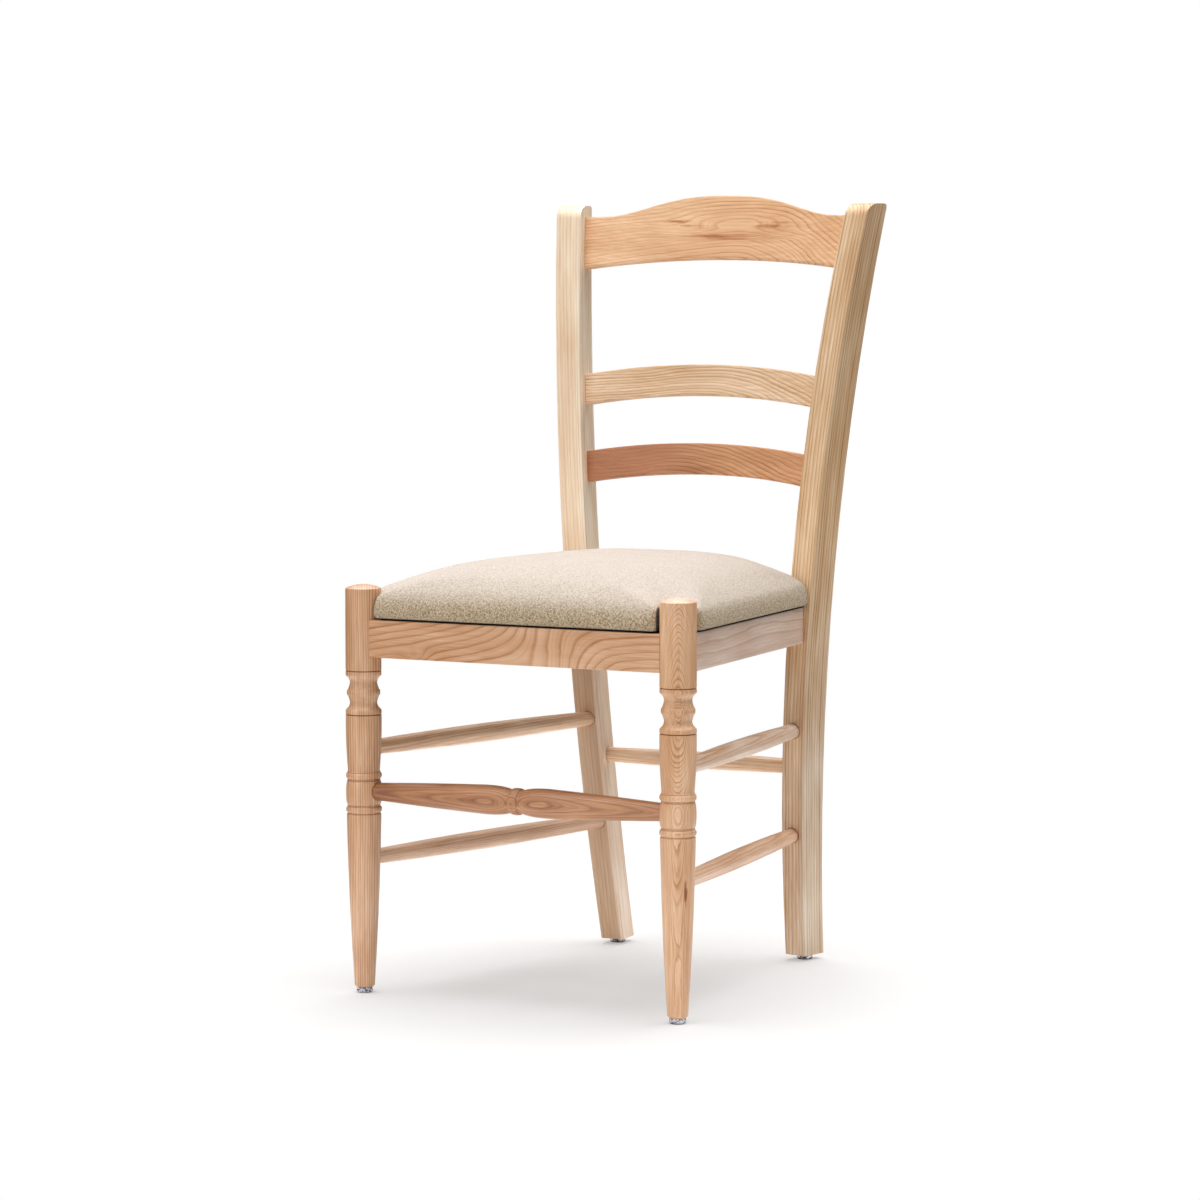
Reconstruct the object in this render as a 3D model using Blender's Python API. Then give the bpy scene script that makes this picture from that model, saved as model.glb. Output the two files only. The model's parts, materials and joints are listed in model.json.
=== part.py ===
"""Ladder-back dining chair: turned front legs, swept back posts, curved slats, rungs and a
drop-on upholstered seat pad. Blender 4.5, metres, +Z up, the sitter faces -Y.

While the pieces are made, y = 0 is the plane of the two front leg axes and z = 0 the floor.
The last step moves the whole chair so that its footprint is centred on the origin.
"""

import math
from collections import namedtuple

import bmesh
import bpy
import numpy as np
from mathutils import Vector

MM = 0.001

# Clearances
FIT = 0.3 * MM
TIP_GAP = 0.6 * MM
OVERRUN = 4.0 * MM

# Front legs
LEG_SPREAD = 395.3 * MM
LEG_RADIUS = 20.0 * MM
LEG_RIM_Z = 450.0 * MM
LEG_DOME = 4.0 * MM
LEG_RIM_ROUND = 1.2 * MM
LEG_FOOT_RADIUS = 11.3 * MM
LEG_FOOT_CHAMFER = 1.8 * MM
LEG_CALF_RADIUS = 19.3 * MM
LEG_CALF_SWELL = 1.25 * MM
LEG_THIGH_SWELL = 0.75 * MM
LEG_NECK_RADIUS = 17.7 * MM
LEG_BARREL_Z = 223.3 * MM
LEG_BARREL_LENGTH = 27.4 * MM
LEG_RING_LENGTH = 8.0 * MM
LEG_RING_RADIUS = 20.0 * MM
LEG_RING_STEP = 1.5 * MM
LEG_COVE_DROP = 20.8 * MM
LEG_COVES_LENGTH = 38.5 * MM
LEG_COVE_RADIUS = 15.2 * MM
LEG_COVE_BEAD_RADIUS = 18.6 * MM
LEG_COVE_BEAD_LENGTH = 7.0 * MM
LEG_COVE_LIP_RADIUS = 17.2 * MM
LEG_BAND_LENGTH = 5.0 * MM
LEG_GROOVE_DEPTH = 0.6 * MM
LEG_GROOVE_WIDTH = 1.2 * MM
BEAD_FULLNESS = 0.8

# Back posts
POST_SPREAD = 288.9 * MM
POST_SETBACK = 383.3 * MM
POST_TOP_Z = 875.0 * MM
POST_BEND_Z = 395.0 * MM
POST_LEG_SWEEP = 2050.0 * MM
POST_BACK_SWEEP = 1860.0 * MM
POST_TOE_IN = math.radians(9.3)
POST_LEAN = math.radians(4.27)
POST_FOOT_WIDTH = 29.0 * MM
POST_HEAD_WIDTH = 31.2 * MM
POST_DEEPEST_Z = 500.0 * MM
POST_DEEPEST = 44.6 * MM
POST_FOOT_DEPTH = 37.0 * MM
POST_HEAD_DEPTH = 38.4 * MM
POST_ARRIS = 2.0 * MM
POST_FRONT_ROUND = 15.0 * MM
POST_BACK_ROUND = 5.0 * MM

# Back slats: heights are those of the ends, where the slat meets the post. Each drop is the
# space above a slat, from the post's top for the crest and from the slat above for the rest
SLAT_SETBACK = 14.5 * MM
SLAT_THICKNESS = 12.0 * MM
SLAT_ARRIS = 2.2 * MM
SLAT_TENON_LENGTH = 12.0 * MM
SLAT_TENON_CHEEK = 2.5 * MM
SLAT_TENON_EDGE = 5.0 * MM
CREST_DROP = 12.6 * MM
CREST_HEIGHT = 60.2 * MM
CREST_THICKNESS = 14.0 * MM
CREST_HUMP = 24.0 * MM
CREST_HUMP_SPAN = 304.0 * MM
CREST_HUMP_FULLNESS = 1.35
CREST_ARCH = 11.4 * MM
UPPER_SLAT_DROP = 125.2 * MM
UPPER_SLAT_HEIGHT = 35.8 * MM
UPPER_SLAT_ARCH = 12.8 * MM
LOWER_SLAT_DROP = 54.4 * MM
LOWER_SLAT_HEIGHT = 36.2 * MM
LOWER_SLAT_ARCH = 11.7 * MM

# Seat rails
RAIL_DROP = 34.2 * MM
RAIL_HEIGHT = 41.5 * MM
RAIL_THICKNESS = 20.0 * MM
RAIL_ARRIS = 1.2 * MM
FRONT_RAIL_PROUD = 12.7 * MM
SIDE_RAIL_PROUD = 13.3 * MM
SIDE_RAIL_INSET = 7.0 * MM
TENON_THICKNESS = 9.0 * MM
TENON_HEIGHT = 30.0 * MM
TENON_LENGTH = 12.0 * MM

# Stretchers
FRONT_STRETCHER_Z = 225.0 * MM
UPPER_STRETCHER_Z = 272.0 * MM
LOWER_STRETCHER_Z = 149.5 * MM
BACK_STRETCHER_Z = 228.0 * MM
SOCKET_DEPTH = 14.0 * MM
FRONT_STRETCHER_END_RADIUS = 9.8 * MM
FRONT_STRETCHER_BELLY_RADIUS = 16.1 * MM
FRONT_STRETCHER_BELLY_AT = 40.0 * MM
FRONT_STRETCHER_SWELL = 0.4 * MM
FRONT_STRETCHER_NECK_RADIUS = 13.2 * MM
FRONT_STRETCHER_NECK_FULLNESS = 3.0
FRONT_STRETCHER_BEAD_RADIUS = 14.8 * MM
FRONT_STRETCHER_BEAD_LENGTH = 11.0 * MM
FRONT_STRETCHER_BEAD_QUIRK = 3.0 * MM
SIDE_STRETCHER_END_RADIUS = 8.5 * MM
SIDE_STRETCHER_BELLY_RADIUS = 10.8 * MM
BACK_STRETCHER_END_RADIUS = 8.4 * MM
BACK_STRETCHER_BELLY_RADIUS = 10.0 * MM

# Glides nailed under the four feet
GLIDE_RADIUS = 9.2 * MM
GLIDE_HEIGHT = 6.0 * MM
GLIDE_LIP_ROUND = 1.6 * MM
GLIDE_RECESS_RADIUS = 4.6 * MM
GLIDE_RECESS_DEPTH = 3.0 * MM
NAIL_HEAD_RADIUS = 4.0 * MM
NAIL_HEAD_HEIGHT = 1.2 * MM
NAIL_CROWN_RADIUS = 2.8 * MM
NAIL_SHANK_RADIUS = 1.4 * MM
NAIL_LENGTH = 22.0 * MM
NAIL_POINT = 4.0 * MM

# Seat pad, from the rails up: bottom cloth, cover turned under, board, foam
PAD_BORDER_INSET = 0.6 * MM
PAD_SIDE_OVERHANG = 4.5 * MM
PAD_LEG_CLEARANCE = 3.0 * MM
PAD_POST_CLEARANCE = 1.0 * MM
PAD_CORNER_ROUND = 5.0 * MM
PAD_NOTCH_ROUND = 3.0 * MM
PAD_SIDE_HEIGHT = 30.0 * MM
PAD_SHOULDER = 17.0 * MM
PAD_SHOULDER_FULLNESS = 3.2
PAD_BULGE = 3.4 * MM
PAD_BELLY_HEIGHT = 9.5 * MM
PAD_CROWN = 35.0 * MM
PAD_CROWN_ACROSS = 3.4
PAD_CROWN_ALONG = 4.2
BOTTOM_CLOTH_THICKNESS = 1.0 * MM
BOTTOM_CLOTH_INSET = 2.0 * MM
COVER_THICKNESS = 1.4 * MM
COVER_RETURN = 22.0 * MM
BOARD_THICKNESS = 12.0 * MM
BOARD_INSET = 2.4 * MM

# Corner blocks and their screws
BLOCK_REACH = 62.0 * MM
BLOCK_RELIEF = 24.0 * MM
BLOCK_HEIGHT = 28.0 * MM
BLOCK_DROP = 1.0 * MM
BLOCK_SCREW_AT = 43.0 * MM
BLOCK_SCREW_WOOD = 9.0 * MM
BLOCK_SCREW_LENGTH = 22.0 * MM
SEAT_SCREW_AT = 21.5 * MM
SEAT_SCREW_WOOD = 16.0 * MM
SEAT_SCREW_BITE = 9.0 * MM
SCREW_SHANK_RADIUS = 2.0 * MM
SCREW_HEAD_RADIUS = 3.9 * MM
SCREW_HEAD_HEIGHT = 2.4 * MM
SCREW_HEAD_RIM = 0.5 * MM
SCREW_POINT = 4.0 * MM

# Mesh fineness
LEG_SEGMENTS = 22
FRONT_STRETCHER_SEGMENTS = 18
RUNG_SEGMENTS = 14
GLIDE_SEGMENTS = 16
SMALL_SEGMENTS = 8
CREST_STATIONS = 20
SLAT_STATIONS = 14
POST_STATIONS = 16
LEG_DOME_RINGS = (0.7, 0.35)
CALF_STEPS = 5
THIGH_STEPS = 3
BARREL_STEPS = 6
SMALL_BEAD_STEPS = 4
BELLY_STEPS = 7
NECK_STEPS = 5
RUNG_STEPS = 8
POST_TOP_STEPS = 6
PAD_SHOULDER_STEPS = 5
PAD_CROWN_RINGS = (0.8, 0.55, 0.25)
PAD_INNER_SHOULDER_STEPS = 4
PAD_INNER_CROWN_RINGS = (0.8, 0.4)
PAD_FRONT_STEPS = 6
PAD_SIDE_STEPS = 6
PAD_REAR_STEPS = 4
SHARP_ANGLE = math.radians(32)

# Levels and lines worked out from the sizes above
LEG_X = LEG_SPREAD / 2
LEG_FOOT_Z = GLIDE_HEIGHT + FIT
RAIL_TOP_Z = LEG_RIM_Z - RAIL_DROP
RAIL_BOTTOM_Z = RAIL_TOP_Z - RAIL_HEIGHT
RAIL_MID_Z = RAIL_TOP_Z - RAIL_HEIGHT / 2
LEG_TOP_COVE_Z = RAIL_BOTTOM_Z - LEG_COVE_DROP
LEG_SHOULDER_Z = LEG_TOP_COVE_Z - LEG_COVES_LENGTH
CREST_TOP_Z = POST_TOP_Z - CREST_DROP
CREST_BOTTOM_Z = CREST_TOP_Z - CREST_HEIGHT
UPPER_SLAT_TOP_Z = CREST_BOTTOM_Z - UPPER_SLAT_DROP
LOWER_SLAT_TOP_Z = UPPER_SLAT_TOP_Z - UPPER_SLAT_HEIGHT - LOWER_SLAT_DROP
CLOTH_Z = RAIL_TOP_Z + FIT
PAD_Z = CLOTH_Z + BOTTOM_CLOTH_THICKNESS + FIT
BOARD_Z = PAD_Z + COVER_THICKNESS + FIT
FOAM_Z = BOARD_Z + BOARD_THICKNESS + FIT
SIDES = {"right": 1, "left": -1}


def clear_scene():
    for old in list(bpy.data.objects):
        bpy.data.objects.remove(old, do_unlink=True)


def finish(name, colour, roughness, metallic=0.0):
    material = bpy.data.materials.new(name)
    material.use_nodes = True
    shader = material.node_tree.nodes["Principled BSDF"]
    shader.inputs["Base Color"].default_value = (*colour, 1.0)
    shader.inputs["Roughness"].default_value = roughness
    shader.inputs["Metallic"].default_value = metallic
    return material


clear_scene()

ASH_PALE = finish("ash_pale", (0.76, 0.58, 0.39), 0.42)
ASH_TAN = finish("ash_tan", (0.70, 0.48, 0.29), 0.42)
ASH_PINK = finish("ash_pink", (0.74, 0.50, 0.33), 0.42)
ASH_RED = finish("ash_red", (0.56, 0.31, 0.17), 0.42)
BLOCK_WOOD = finish("block_wood", (0.66, 0.50, 0.33), 0.65)
PLYWOOD = finish("plywood", (0.62, 0.46, 0.29), 0.65)
FOAM = finish("foam", (0.82, 0.76, 0.55), 0.95)
FABRIC = finish("fabric", (0.70, 0.62, 0.48), 0.95)
BLACK_CLOTH = finish("black_cloth", (0.02, 0.02, 0.02), 0.9)
NICKEL = finish("nickel", (0.72, 0.72, 0.74), 0.22, 1.0)
ZINC = finish("zinc", (0.66, 0.64, 0.58), 0.35, 1.0)

CHAIR = bpy.data.objects.new("chair", None)
bpy.context.scene.collection.objects.link(CHAIR)


def add_object(name, bm, material):
    """Turns the faces of bm into a named piece of the chair, smooth except at its arrises."""
    bmesh.ops.recalc_face_normals(bm, faces=bm.faces)
    mesh = bpy.data.meshes.new(name)
    bm.to_mesh(mesh)
    bm.free()
    mesh.shade_smooth()
    mesh.set_sharp_from_angle(angle=SHARP_ANGLE)
    mesh.materials.append(material)
    made = bpy.data.objects.new(name, mesh)
    bpy.context.scene.collection.objects.link(made)
    made.parent = CHAIR
    return made


def loft(name, rings, material):
    """A closed solid through rings of points, each with as many points, with flat ends.
    A ring of one point closes to a tip."""
    bm = bmesh.new()
    rows = [[bm.verts.new(point) for point in ring] for ring in rings]
    for lower, upper in zip(rows, rows[1:]):
        count = max(len(lower), len(upper))
        for i in range(count):
            j = (i + 1) % count
            if len(lower) == 1:
                bm.faces.new((lower[0], upper[j], upper[i]))
            elif len(upper) == 1:
                bm.faces.new((lower[i], lower[j], upper[0]))
            else:
                bm.faces.new((lower[i], lower[j], upper[j], upper[i]))
    for row in (rows[0], rows[-1]):
        if len(row) > 1:
            bm.faces.new(row)
    return add_object(name, bm, material)


def lathe(name, profile, segments, material):
    """A turned solid about z. Each profile entry is (height, radius), and radius 0 is a tip."""
    rings = []
    for height, radius in profile:
        if radius <= 0.0:
            rings.append([Vector((0.0, 0.0, height))])
            continue
        turns = [math.tau * k / segments for k in range(segments)]
        rings.append([Vector((radius * math.cos(t), radius * math.sin(t), height)) for t in turns])
    return loft(name, rings, material)


def prism(name, outline, low, high, material):
    """A plan outline raised from one height to another."""
    rings = [[Vector((x, y, z)) for x, y in outline] for z in (low, high)]
    return loft(name, rings, material)


def block(name, start, heading, length, thickness, height, material):
    """A bar from start along heading, its height upright, centred on its axis."""
    along = heading.normalized()
    across = Vector((0.0, 0.0, 1.0)).cross(along).normalized()
    upright = along.cross(across)
    rings = []
    for distance in (0.0, length):
        middle = start + along * distance
        side = across * (thickness / 2)
        rise = upright * (height / 2)
        rings.append([middle + side * a + rise * b for a, b in ((-1, -1), (1, -1), (1, 1), (-1, 1))])
    return loft(name, rings, material)


def aim(made, start, end):
    """Lays a turned piece along the line from start to end, its own z axis on the line."""
    made.location = start
    made.rotation_euler = (end - start).to_track_quat("Z", "Y").to_euler()
    return made


def round_arrises(made, width):
    bevel = made.modifiers.new("arris", "BEVEL")
    bevel.width = width
    bevel.segments = 2
    bevel.limit_method = "ANGLE"
    bevel.angle_limit = SHARP_ANGLE


def combine(made, tool, operation):
    tool.hide_render = True
    tool.display_type = "WIRE"
    modifier = made.modifiers.new(operation.lower(), "BOOLEAN")
    modifier.operation = operation
    modifier.solver = "EXACT"
    modifier.object = tool


def cut(made, *tools):
    for tool in tools:
        combine(made, tool, "DIFFERENCE")


def join(made, *tools):
    for tool in tools:
        combine(made, tool, "UNION")


def arc_rise(distance, sweep):
    """How far an arc of radius sweep has left its tangent after this distance along it."""
    return sweep - math.sqrt(sweep * sweep - distance * distance)


# Back posts

def post_width(z):
    return POST_FOOT_WIDTH + (POST_HEAD_WIDTH - POST_FOOT_WIDTH) * z / POST_TOP_Z


def post_depth(z):
    """The post's depth from front to back, greatest above the seat and less at both ends."""
    if z > POST_DEEPEST_Z:
        reach, end_depth = POST_TOP_Z - POST_DEEPEST_Z, POST_HEAD_DEPTH
    else:
        reach, end_depth = POST_DEEPEST_Z, POST_FOOT_DEPTH
    return POST_DEEPEST - (POST_DEEPEST - end_depth) * ((z - POST_DEEPEST_Z) / reach) ** 2


def post_sweep(z):
    """How far the post's front face has swept back from where it is upright."""
    above = z - POST_BEND_Z
    return arc_rise(above, POST_BACK_SWEEP if above > 0 else POST_LEG_SWEEP)


def post_point(side, z, across, back):
    """A point of a post: across counts outwards from the middle of the front face, back
    counts from the front face towards the rear."""
    x = (z - POST_BEND_Z) * math.tan(POST_LEAN) + across
    y = post_sweep(z) + back
    turned_x = x * math.cos(POST_TOE_IN) + y * math.sin(POST_TOE_IN)
    turned_y = y * math.cos(POST_TOE_IN) - x * math.sin(POST_TOE_IN)
    return Vector((side * (POST_SPREAD / 2 + turned_x), POST_SETBACK + turned_y, z))


def post_ring(side, z, grow=0.0):
    """The post's section at height z: a rectangle with rounded arrises. Near the top the
    front and back faces curve over."""
    half = post_width(z) / 2 + grow
    front = -grow
    back = post_depth(z) + grow
    over = z - (POST_TOP_Z - POST_FRONT_ROUND)
    if over > 0:
        front += arc_rise(min(over, POST_FRONT_ROUND), POST_FRONT_ROUND)
    over = z - (POST_TOP_Z - POST_BACK_ROUND)
    if over > 0:
        back -= arc_rise(min(over, POST_BACK_ROUND), POST_BACK_ROUND)
    ring = []
    corners = ((half, front, 1, -1), (half, back, 1, 1), (-half, back, -1, 1), (-half, front, -1, -1))
    for index, (across, depth, out_x, out_y) in enumerate(corners):
        first = math.pi / 2 * (index - 1)
        for step in range(3):
            turn = first + math.pi / 4 * step
            x = across - out_x * POST_ARRIS + POST_ARRIS * math.cos(turn)
            y = depth - out_y * POST_ARRIS + POST_ARRIS * math.sin(turn)
            ring.append(post_point(side, z, x, y))
    return ring


def post_heights():
    """Section heights: even along the post, closer where its top is rounded over."""
    rounding = POST_TOP_Z - POST_FRONT_ROUND
    heights = list(np.linspace(LEG_FOOT_Z, rounding, POST_STATIONS))
    for k in range(1, POST_TOP_STEPS + 1):
        heights.append(rounding + POST_FRONT_ROUND * math.sin(math.pi / 2 * k / POST_TOP_STEPS))
    return heights


def make_post(name, side):
    return loft(name, [post_ring(side, z) for z in post_heights()], ASH_PALE)


def post_shadow(name, side):
    """The post's blank with its clearance, which shoulders are cut against."""
    heights = np.linspace(RAIL_BOTTOM_Z - OVERRUN, RAIL_TOP_Z + OVERRUN, 5)
    return loft(name, [post_ring(side, z, FIT) for z in heights], ASH_PALE)


# Turned profiles

def bead(middle, length, base, crown, steps):
    """A half-round swelling, as (height, radius) pairs from its lower to its upper edge."""
    pairs = []
    for k in range(steps + 1):
        turn = math.pi * k / steps
        radius = base + (crown - base) * math.sin(turn) ** BEAD_FULLNESS
        pairs.append((middle - length / 2 * math.cos(turn), radius))
    return pairs


def cove(low, low_radius, high, high_radius, waist, steps=4):
    """A hollow between two heights, deepest half way."""
    pairs = []
    for k in range(1, steps):
        share = k / steps
        edge = low_radius + (high_radius - low_radius) * share
        pairs.append((low + (high - low) * share, edge - (edge - waist) * math.sin(math.pi * share)))
    return pairs


def taper(low, low_radius, high, high_radius, swell, steps):
    """A long cone that swells a little at its middle."""
    pairs = []
    for k in range(steps + 1):
        share = k / steps
        radius = low_radius + (high_radius - low_radius) * share + swell * math.sin(math.pi * share)
        pairs.append((low + (high - low) * share, radius))
    return pairs


def groove(z, radius):
    """A fine line cut round a cylinder."""
    half = LEG_GROOVE_WIDTH / 2
    return [(z - half, radius), (z, radius - LEG_GROOVE_DEPTH), (z + half, radius)]


def ring_with_lines(middle, neck_below, neck_above):
    """A bead set off by a fine step on either side."""
    half = LEG_RING_LENGTH / 2
    step = LEG_RING_RADIUS - LEG_RING_STEP
    pairs = [(middle - half - LEG_GROOVE_WIDTH, neck_below), (middle - half - LEG_GROOVE_WIDTH / 2, step)]
    base = step - LEG_GROOVE_DEPTH
    pairs += bead(middle, LEG_RING_LENGTH - LEG_GROOVE_WIDTH, base, LEG_RING_RADIUS, SMALL_BEAD_STEPS)
    pairs += [(middle + half + LEG_GROOVE_WIDTH / 2, step), (middle + half + LEG_GROOVE_WIDTH, neck_above)]
    return pairs


def leg_profile():
    """From the foot up: tapered calf, ring, barrel, ring, thigh, two coves round a bead, and
    the plain cylinder that takes the rails."""
    barrel_low = LEG_BARREL_Z - LEG_BARREL_LENGTH / 2
    barrel_high = LEG_BARREL_Z + LEG_BARREL_LENGTH / 2
    ring_reach = LEG_RING_LENGTH / 2 + LEG_GROOVE_WIDTH
    low_ring = barrel_low - ring_reach
    high_ring = barrel_high + ring_reach
    calf_top = low_ring - ring_reach
    thigh_low = high_ring + ring_reach
    cove_bead = (LEG_SHOULDER_Z + LEG_TOP_COVE_Z) / 2
    bead_low = cove_bead - LEG_COVE_BEAD_LENGTH / 2
    bead_high = cove_bead + LEG_COVE_BEAD_LENGTH / 2
    lip = LEG_COVE_LIP_RADIUS
    band = LEG_SHOULDER_Z - LEG_BAND_LENGTH
    profile = [(LEG_FOOT_Z, LEG_FOOT_RADIUS - LEG_FOOT_CHAMFER)]
    foot = LEG_FOOT_Z + LEG_FOOT_CHAMFER
    profile += taper(foot, LEG_FOOT_RADIUS, calf_top, LEG_CALF_RADIUS, LEG_CALF_SWELL, CALF_STEPS)
    profile += ring_with_lines(low_ring, LEG_CALF_RADIUS - LEG_GROOVE_DEPTH, LEG_NECK_RADIUS)[1:]
    barrel = bead(LEG_BARREL_Z, LEG_BARREL_LENGTH, LEG_NECK_RADIUS, LEG_RADIUS, BARREL_STEPS)
    profile += barrel[1:-1]
    profile += ring_with_lines(high_ring, LEG_NECK_RADIUS, LEG_NECK_RADIUS)
    thigh_high = band - LEG_GROOVE_WIDTH
    thigh = taper(thigh_low, LEG_NECK_RADIUS, thigh_high, LEG_RADIUS, LEG_THIGH_SWELL, THIGH_STEPS)
    profile += thigh[1:]
    profile += groove(band, LEG_RADIUS)[1:]
    profile += [(LEG_SHOULDER_Z, LEG_RADIUS)]
    profile += cove(LEG_SHOULDER_Z, LEG_RADIUS, bead_low, lip, LEG_COVE_RADIUS)
    profile += bead(cove_bead, LEG_COVE_BEAD_LENGTH, lip, LEG_COVE_BEAD_RADIUS, SMALL_BEAD_STEPS)
    profile += cove(bead_high, lip, LEG_TOP_COVE_Z, LEG_RADIUS, LEG_COVE_RADIUS)
    profile += [(LEG_TOP_COVE_Z, LEG_RADIUS)]
    profile += groove(LEG_TOP_COVE_Z + LEG_BAND_LENGTH, LEG_RADIUS)
    profile += [(LEG_RIM_Z - LEG_RIM_ROUND, LEG_RADIUS), (LEG_RIM_Z, LEG_RADIUS - LEG_RIM_ROUND)]
    inner = LEG_RADIUS - LEG_RIM_ROUND
    for share in LEG_DOME_RINGS:
        profile.append((LEG_RIM_Z + LEG_DOME * (1 - share ** 2), inner * share))
    profile.append((LEG_RIM_Z + LEG_DOME, 0.0))
    return profile


def leg_radius_at(height):
    """The turned leg's radius at this height, read off its profile."""
    heights, radii = zip(*leg_profile())
    return float(np.interp(height, heights, radii))


def stretcher_radius(share, end_radius, belly_radius):
    """A plain rung's radius, share being 0 at one end and 1 at the other."""
    return end_radius + (belly_radius - end_radius) * math.sin(math.pi * share)


def make_rung(name, start, end, end_radius, belly_radius, material):
    """A rung that is a little thicker at its middle, with plain ends for its sockets."""
    length = (end - start).length
    profile = [(0.0, end_radius - FIT), (FIT * 2, end_radius), (SOCKET_DEPTH, end_radius)]
    clear = length - 2 * SOCKET_DEPTH
    for k in range(1, RUNG_STEPS):
        share = k / RUNG_STEPS
        profile.append((SOCKET_DEPTH + clear * share, stretcher_radius(share, end_radius, belly_radius)))
    profile += [(length - SOCKET_DEPTH, end_radius), (length - FIT * 2, end_radius)]
    profile += [(length, end_radius - FIT)]
    return aim(lathe(name, profile, RUNG_SEGMENTS, material), start, end)


def socket(name, mouth, bottom, radius):
    """The drill for a round socket: it starts outside the mouth and stops past the rung's end."""
    along = (bottom - mouth).normalized()
    start = mouth - along * (OVERRUN * 3)
    length = (bottom - start).length + TIP_GAP
    profile = [(0.0, radius + FIT), (length, radius + FIT)]
    return aim(lathe(name, profile, RUNG_SEGMENTS, ASH_PALE), start, bottom)


# Front legs, posts and what cuts into them

def leg_axis_point(side, z):
    return Vector((side * LEG_X, 0.0, z))


LEGS = {}
POSTS = {}
LEG_SHADOWS = {}
POST_SHADOWS = {}
for word, side in SIDES.items():
    leg = lathe("front_leg_" + word, leg_profile(), LEG_SEGMENTS, ASH_TAN)
    leg.location = (side * LEG_X, 0.0, 0.0)
    LEGS[side] = leg
    POSTS[side] = make_post("back_post_" + word, side)
    shadow_profile = [(RAIL_BOTTOM_Z - OVERRUN, LEG_RADIUS + FIT), (RAIL_TOP_Z + OVERRUN, LEG_RADIUS + FIT)]
    shadow = lathe("leg_shadow_" + word, shadow_profile, LEG_SEGMENTS, ASH_TAN)
    shadow.location = leg.location
    LEG_SHADOWS[side] = shadow
    POST_SHADOWS[side] = post_shadow("post_shadow_" + word, side)


# Slats

def slat_half_span(z):
    """From the chair's middle to the post's inner face where the slat's front meets it, less
    the fit."""
    return post_point(1, z, -post_width(z) / 2, SLAT_SETBACK).x - FIT


def slat_point(share, z, depth, lean):
    """A point of a slat. Share runs from -1 to 1 between the posts. The slat bends to an arc
    that meets both posts squarely, and leans back with them."""
    end = post_point(1, z, -post_width(z) / 2, SLAT_SETBACK)
    radius = slat_half_span(z) / math.sin(POST_TOE_IN)
    turn = POST_TOE_IN * share
    centre_y = end.y - radius * math.cos(POST_TOE_IN)
    out = radius + depth * math.cos(lean)
    return Vector((out * math.sin(turn), centre_y + out * math.cos(turn), z - depth * math.sin(lean)))


def slat_section(share, low, high, thickness, edge=0.0, cheek=0.0, beyond=0.0, arris=SLAT_ARRIS):
    """A slat's section, less edge at its top and bottom and cheek at its faces. Beyond carries
    it straight on past the shoulder, for the tenon."""
    lean = math.asin(((low + high) / 2 - POST_BEND_Z) / POST_BACK_SWEEP)
    bottom = low + edge
    top = high - edge
    front = cheek
    back = thickness - cheek
    along = Vector((math.cos(POST_TOE_IN) * math.copysign(1, share), -math.sin(POST_TOE_IN), 0.0))
    ring = []
    corners = ((back, top, 1, 1), (front, top, -1, 1), (front, bottom, -1, -1), (back, bottom, 1, -1))
    for index, (depth, z, out_depth, out_z) in enumerate(corners):
        for step in range(3):
            turn = math.pi / 2 * index + math.pi / 4 * step
            depth_here = depth - arris * (out_depth - math.cos(turn))
            z_here = z - arris * (out_z - math.sin(turn))
            ring.append(slat_point(share, z_here, depth_here, lean) + along * beyond)
    return ring


def slat_tenon(share, low, high, thickness, grow=0.0):
    """A tenon's root and tip sections, at the right-hand end for share 1 and the left-hand
    end for share -1. Grow gives its mortise, which also starts outside the post."""
    edge = SLAT_TENON_EDGE - grow
    cheek = SLAT_TENON_CHEEK - grow
    root = -OVERRUN if grow else 0.0
    tip = SLAT_TENON_LENGTH + (TIP_GAP if grow else 0.0)
    return [slat_section(share, low, high, thickness, edge, cheek, at, 2 * FIT) for at in (root, tip)]


def make_slat(name, low_line, high_line, thickness, stations, material):
    """A curved slat between the posts with a tenon at each end. The lines give its lower and
    upper edge heights for a share across, and both posts are cut to take it."""
    low, high = low_line(1.0), high_line(1.0)
    rings = slat_tenon(-1.0, low, high, thickness)[::-1]
    for k in range(stations + 1):
        share = 2 * k / stations - 1
        rings.append(slat_section(share, low_line(share), high_line(share), thickness))
    rings += slat_tenon(1.0, low, high, thickness)
    loft(name, rings, material)
    for side in SIDES.values():
        cut(POSTS[side], loft(name + "_mortise", slat_tenon(side, low, high, thickness, FIT), material))


def arch(height, rise):
    """An edge line that stands at this height at the posts and rises to the middle."""
    return lambda share: height + rise * (1 - share * share)


def crest_line(share):
    """The crest's upper edge: flat by the posts, with a hump between."""
    x = abs(share) * slat_half_span(CREST_TOP_Z)
    along = min(x / (CREST_HUMP_SPAN / 2), 1.0) ** CREST_HUMP_FULLNESS
    return CREST_TOP_Z + CREST_HUMP * (1 + math.cos(math.pi * along)) / 2


crest_bottom = arch(CREST_BOTTOM_Z, CREST_ARCH)
make_slat("crest_rail", crest_bottom, crest_line, CREST_THICKNESS, CREST_STATIONS, ASH_PINK)
for slat_name, top_z, height, rise, wood in (
    ("upper_slat", UPPER_SLAT_TOP_Z, UPPER_SLAT_HEIGHT, UPPER_SLAT_ARCH, ASH_TAN),
    ("lower_slat", LOWER_SLAT_TOP_Z, LOWER_SLAT_HEIGHT, LOWER_SLAT_ARCH, ASH_RED),
):
    lower_edge = arch(top_z - height, rise)
    make_slat(slat_name, lower_edge, arch(top_z, rise), SLAT_THICKNESS, SLAT_STATIONS, wood)


# Seat rails

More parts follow.
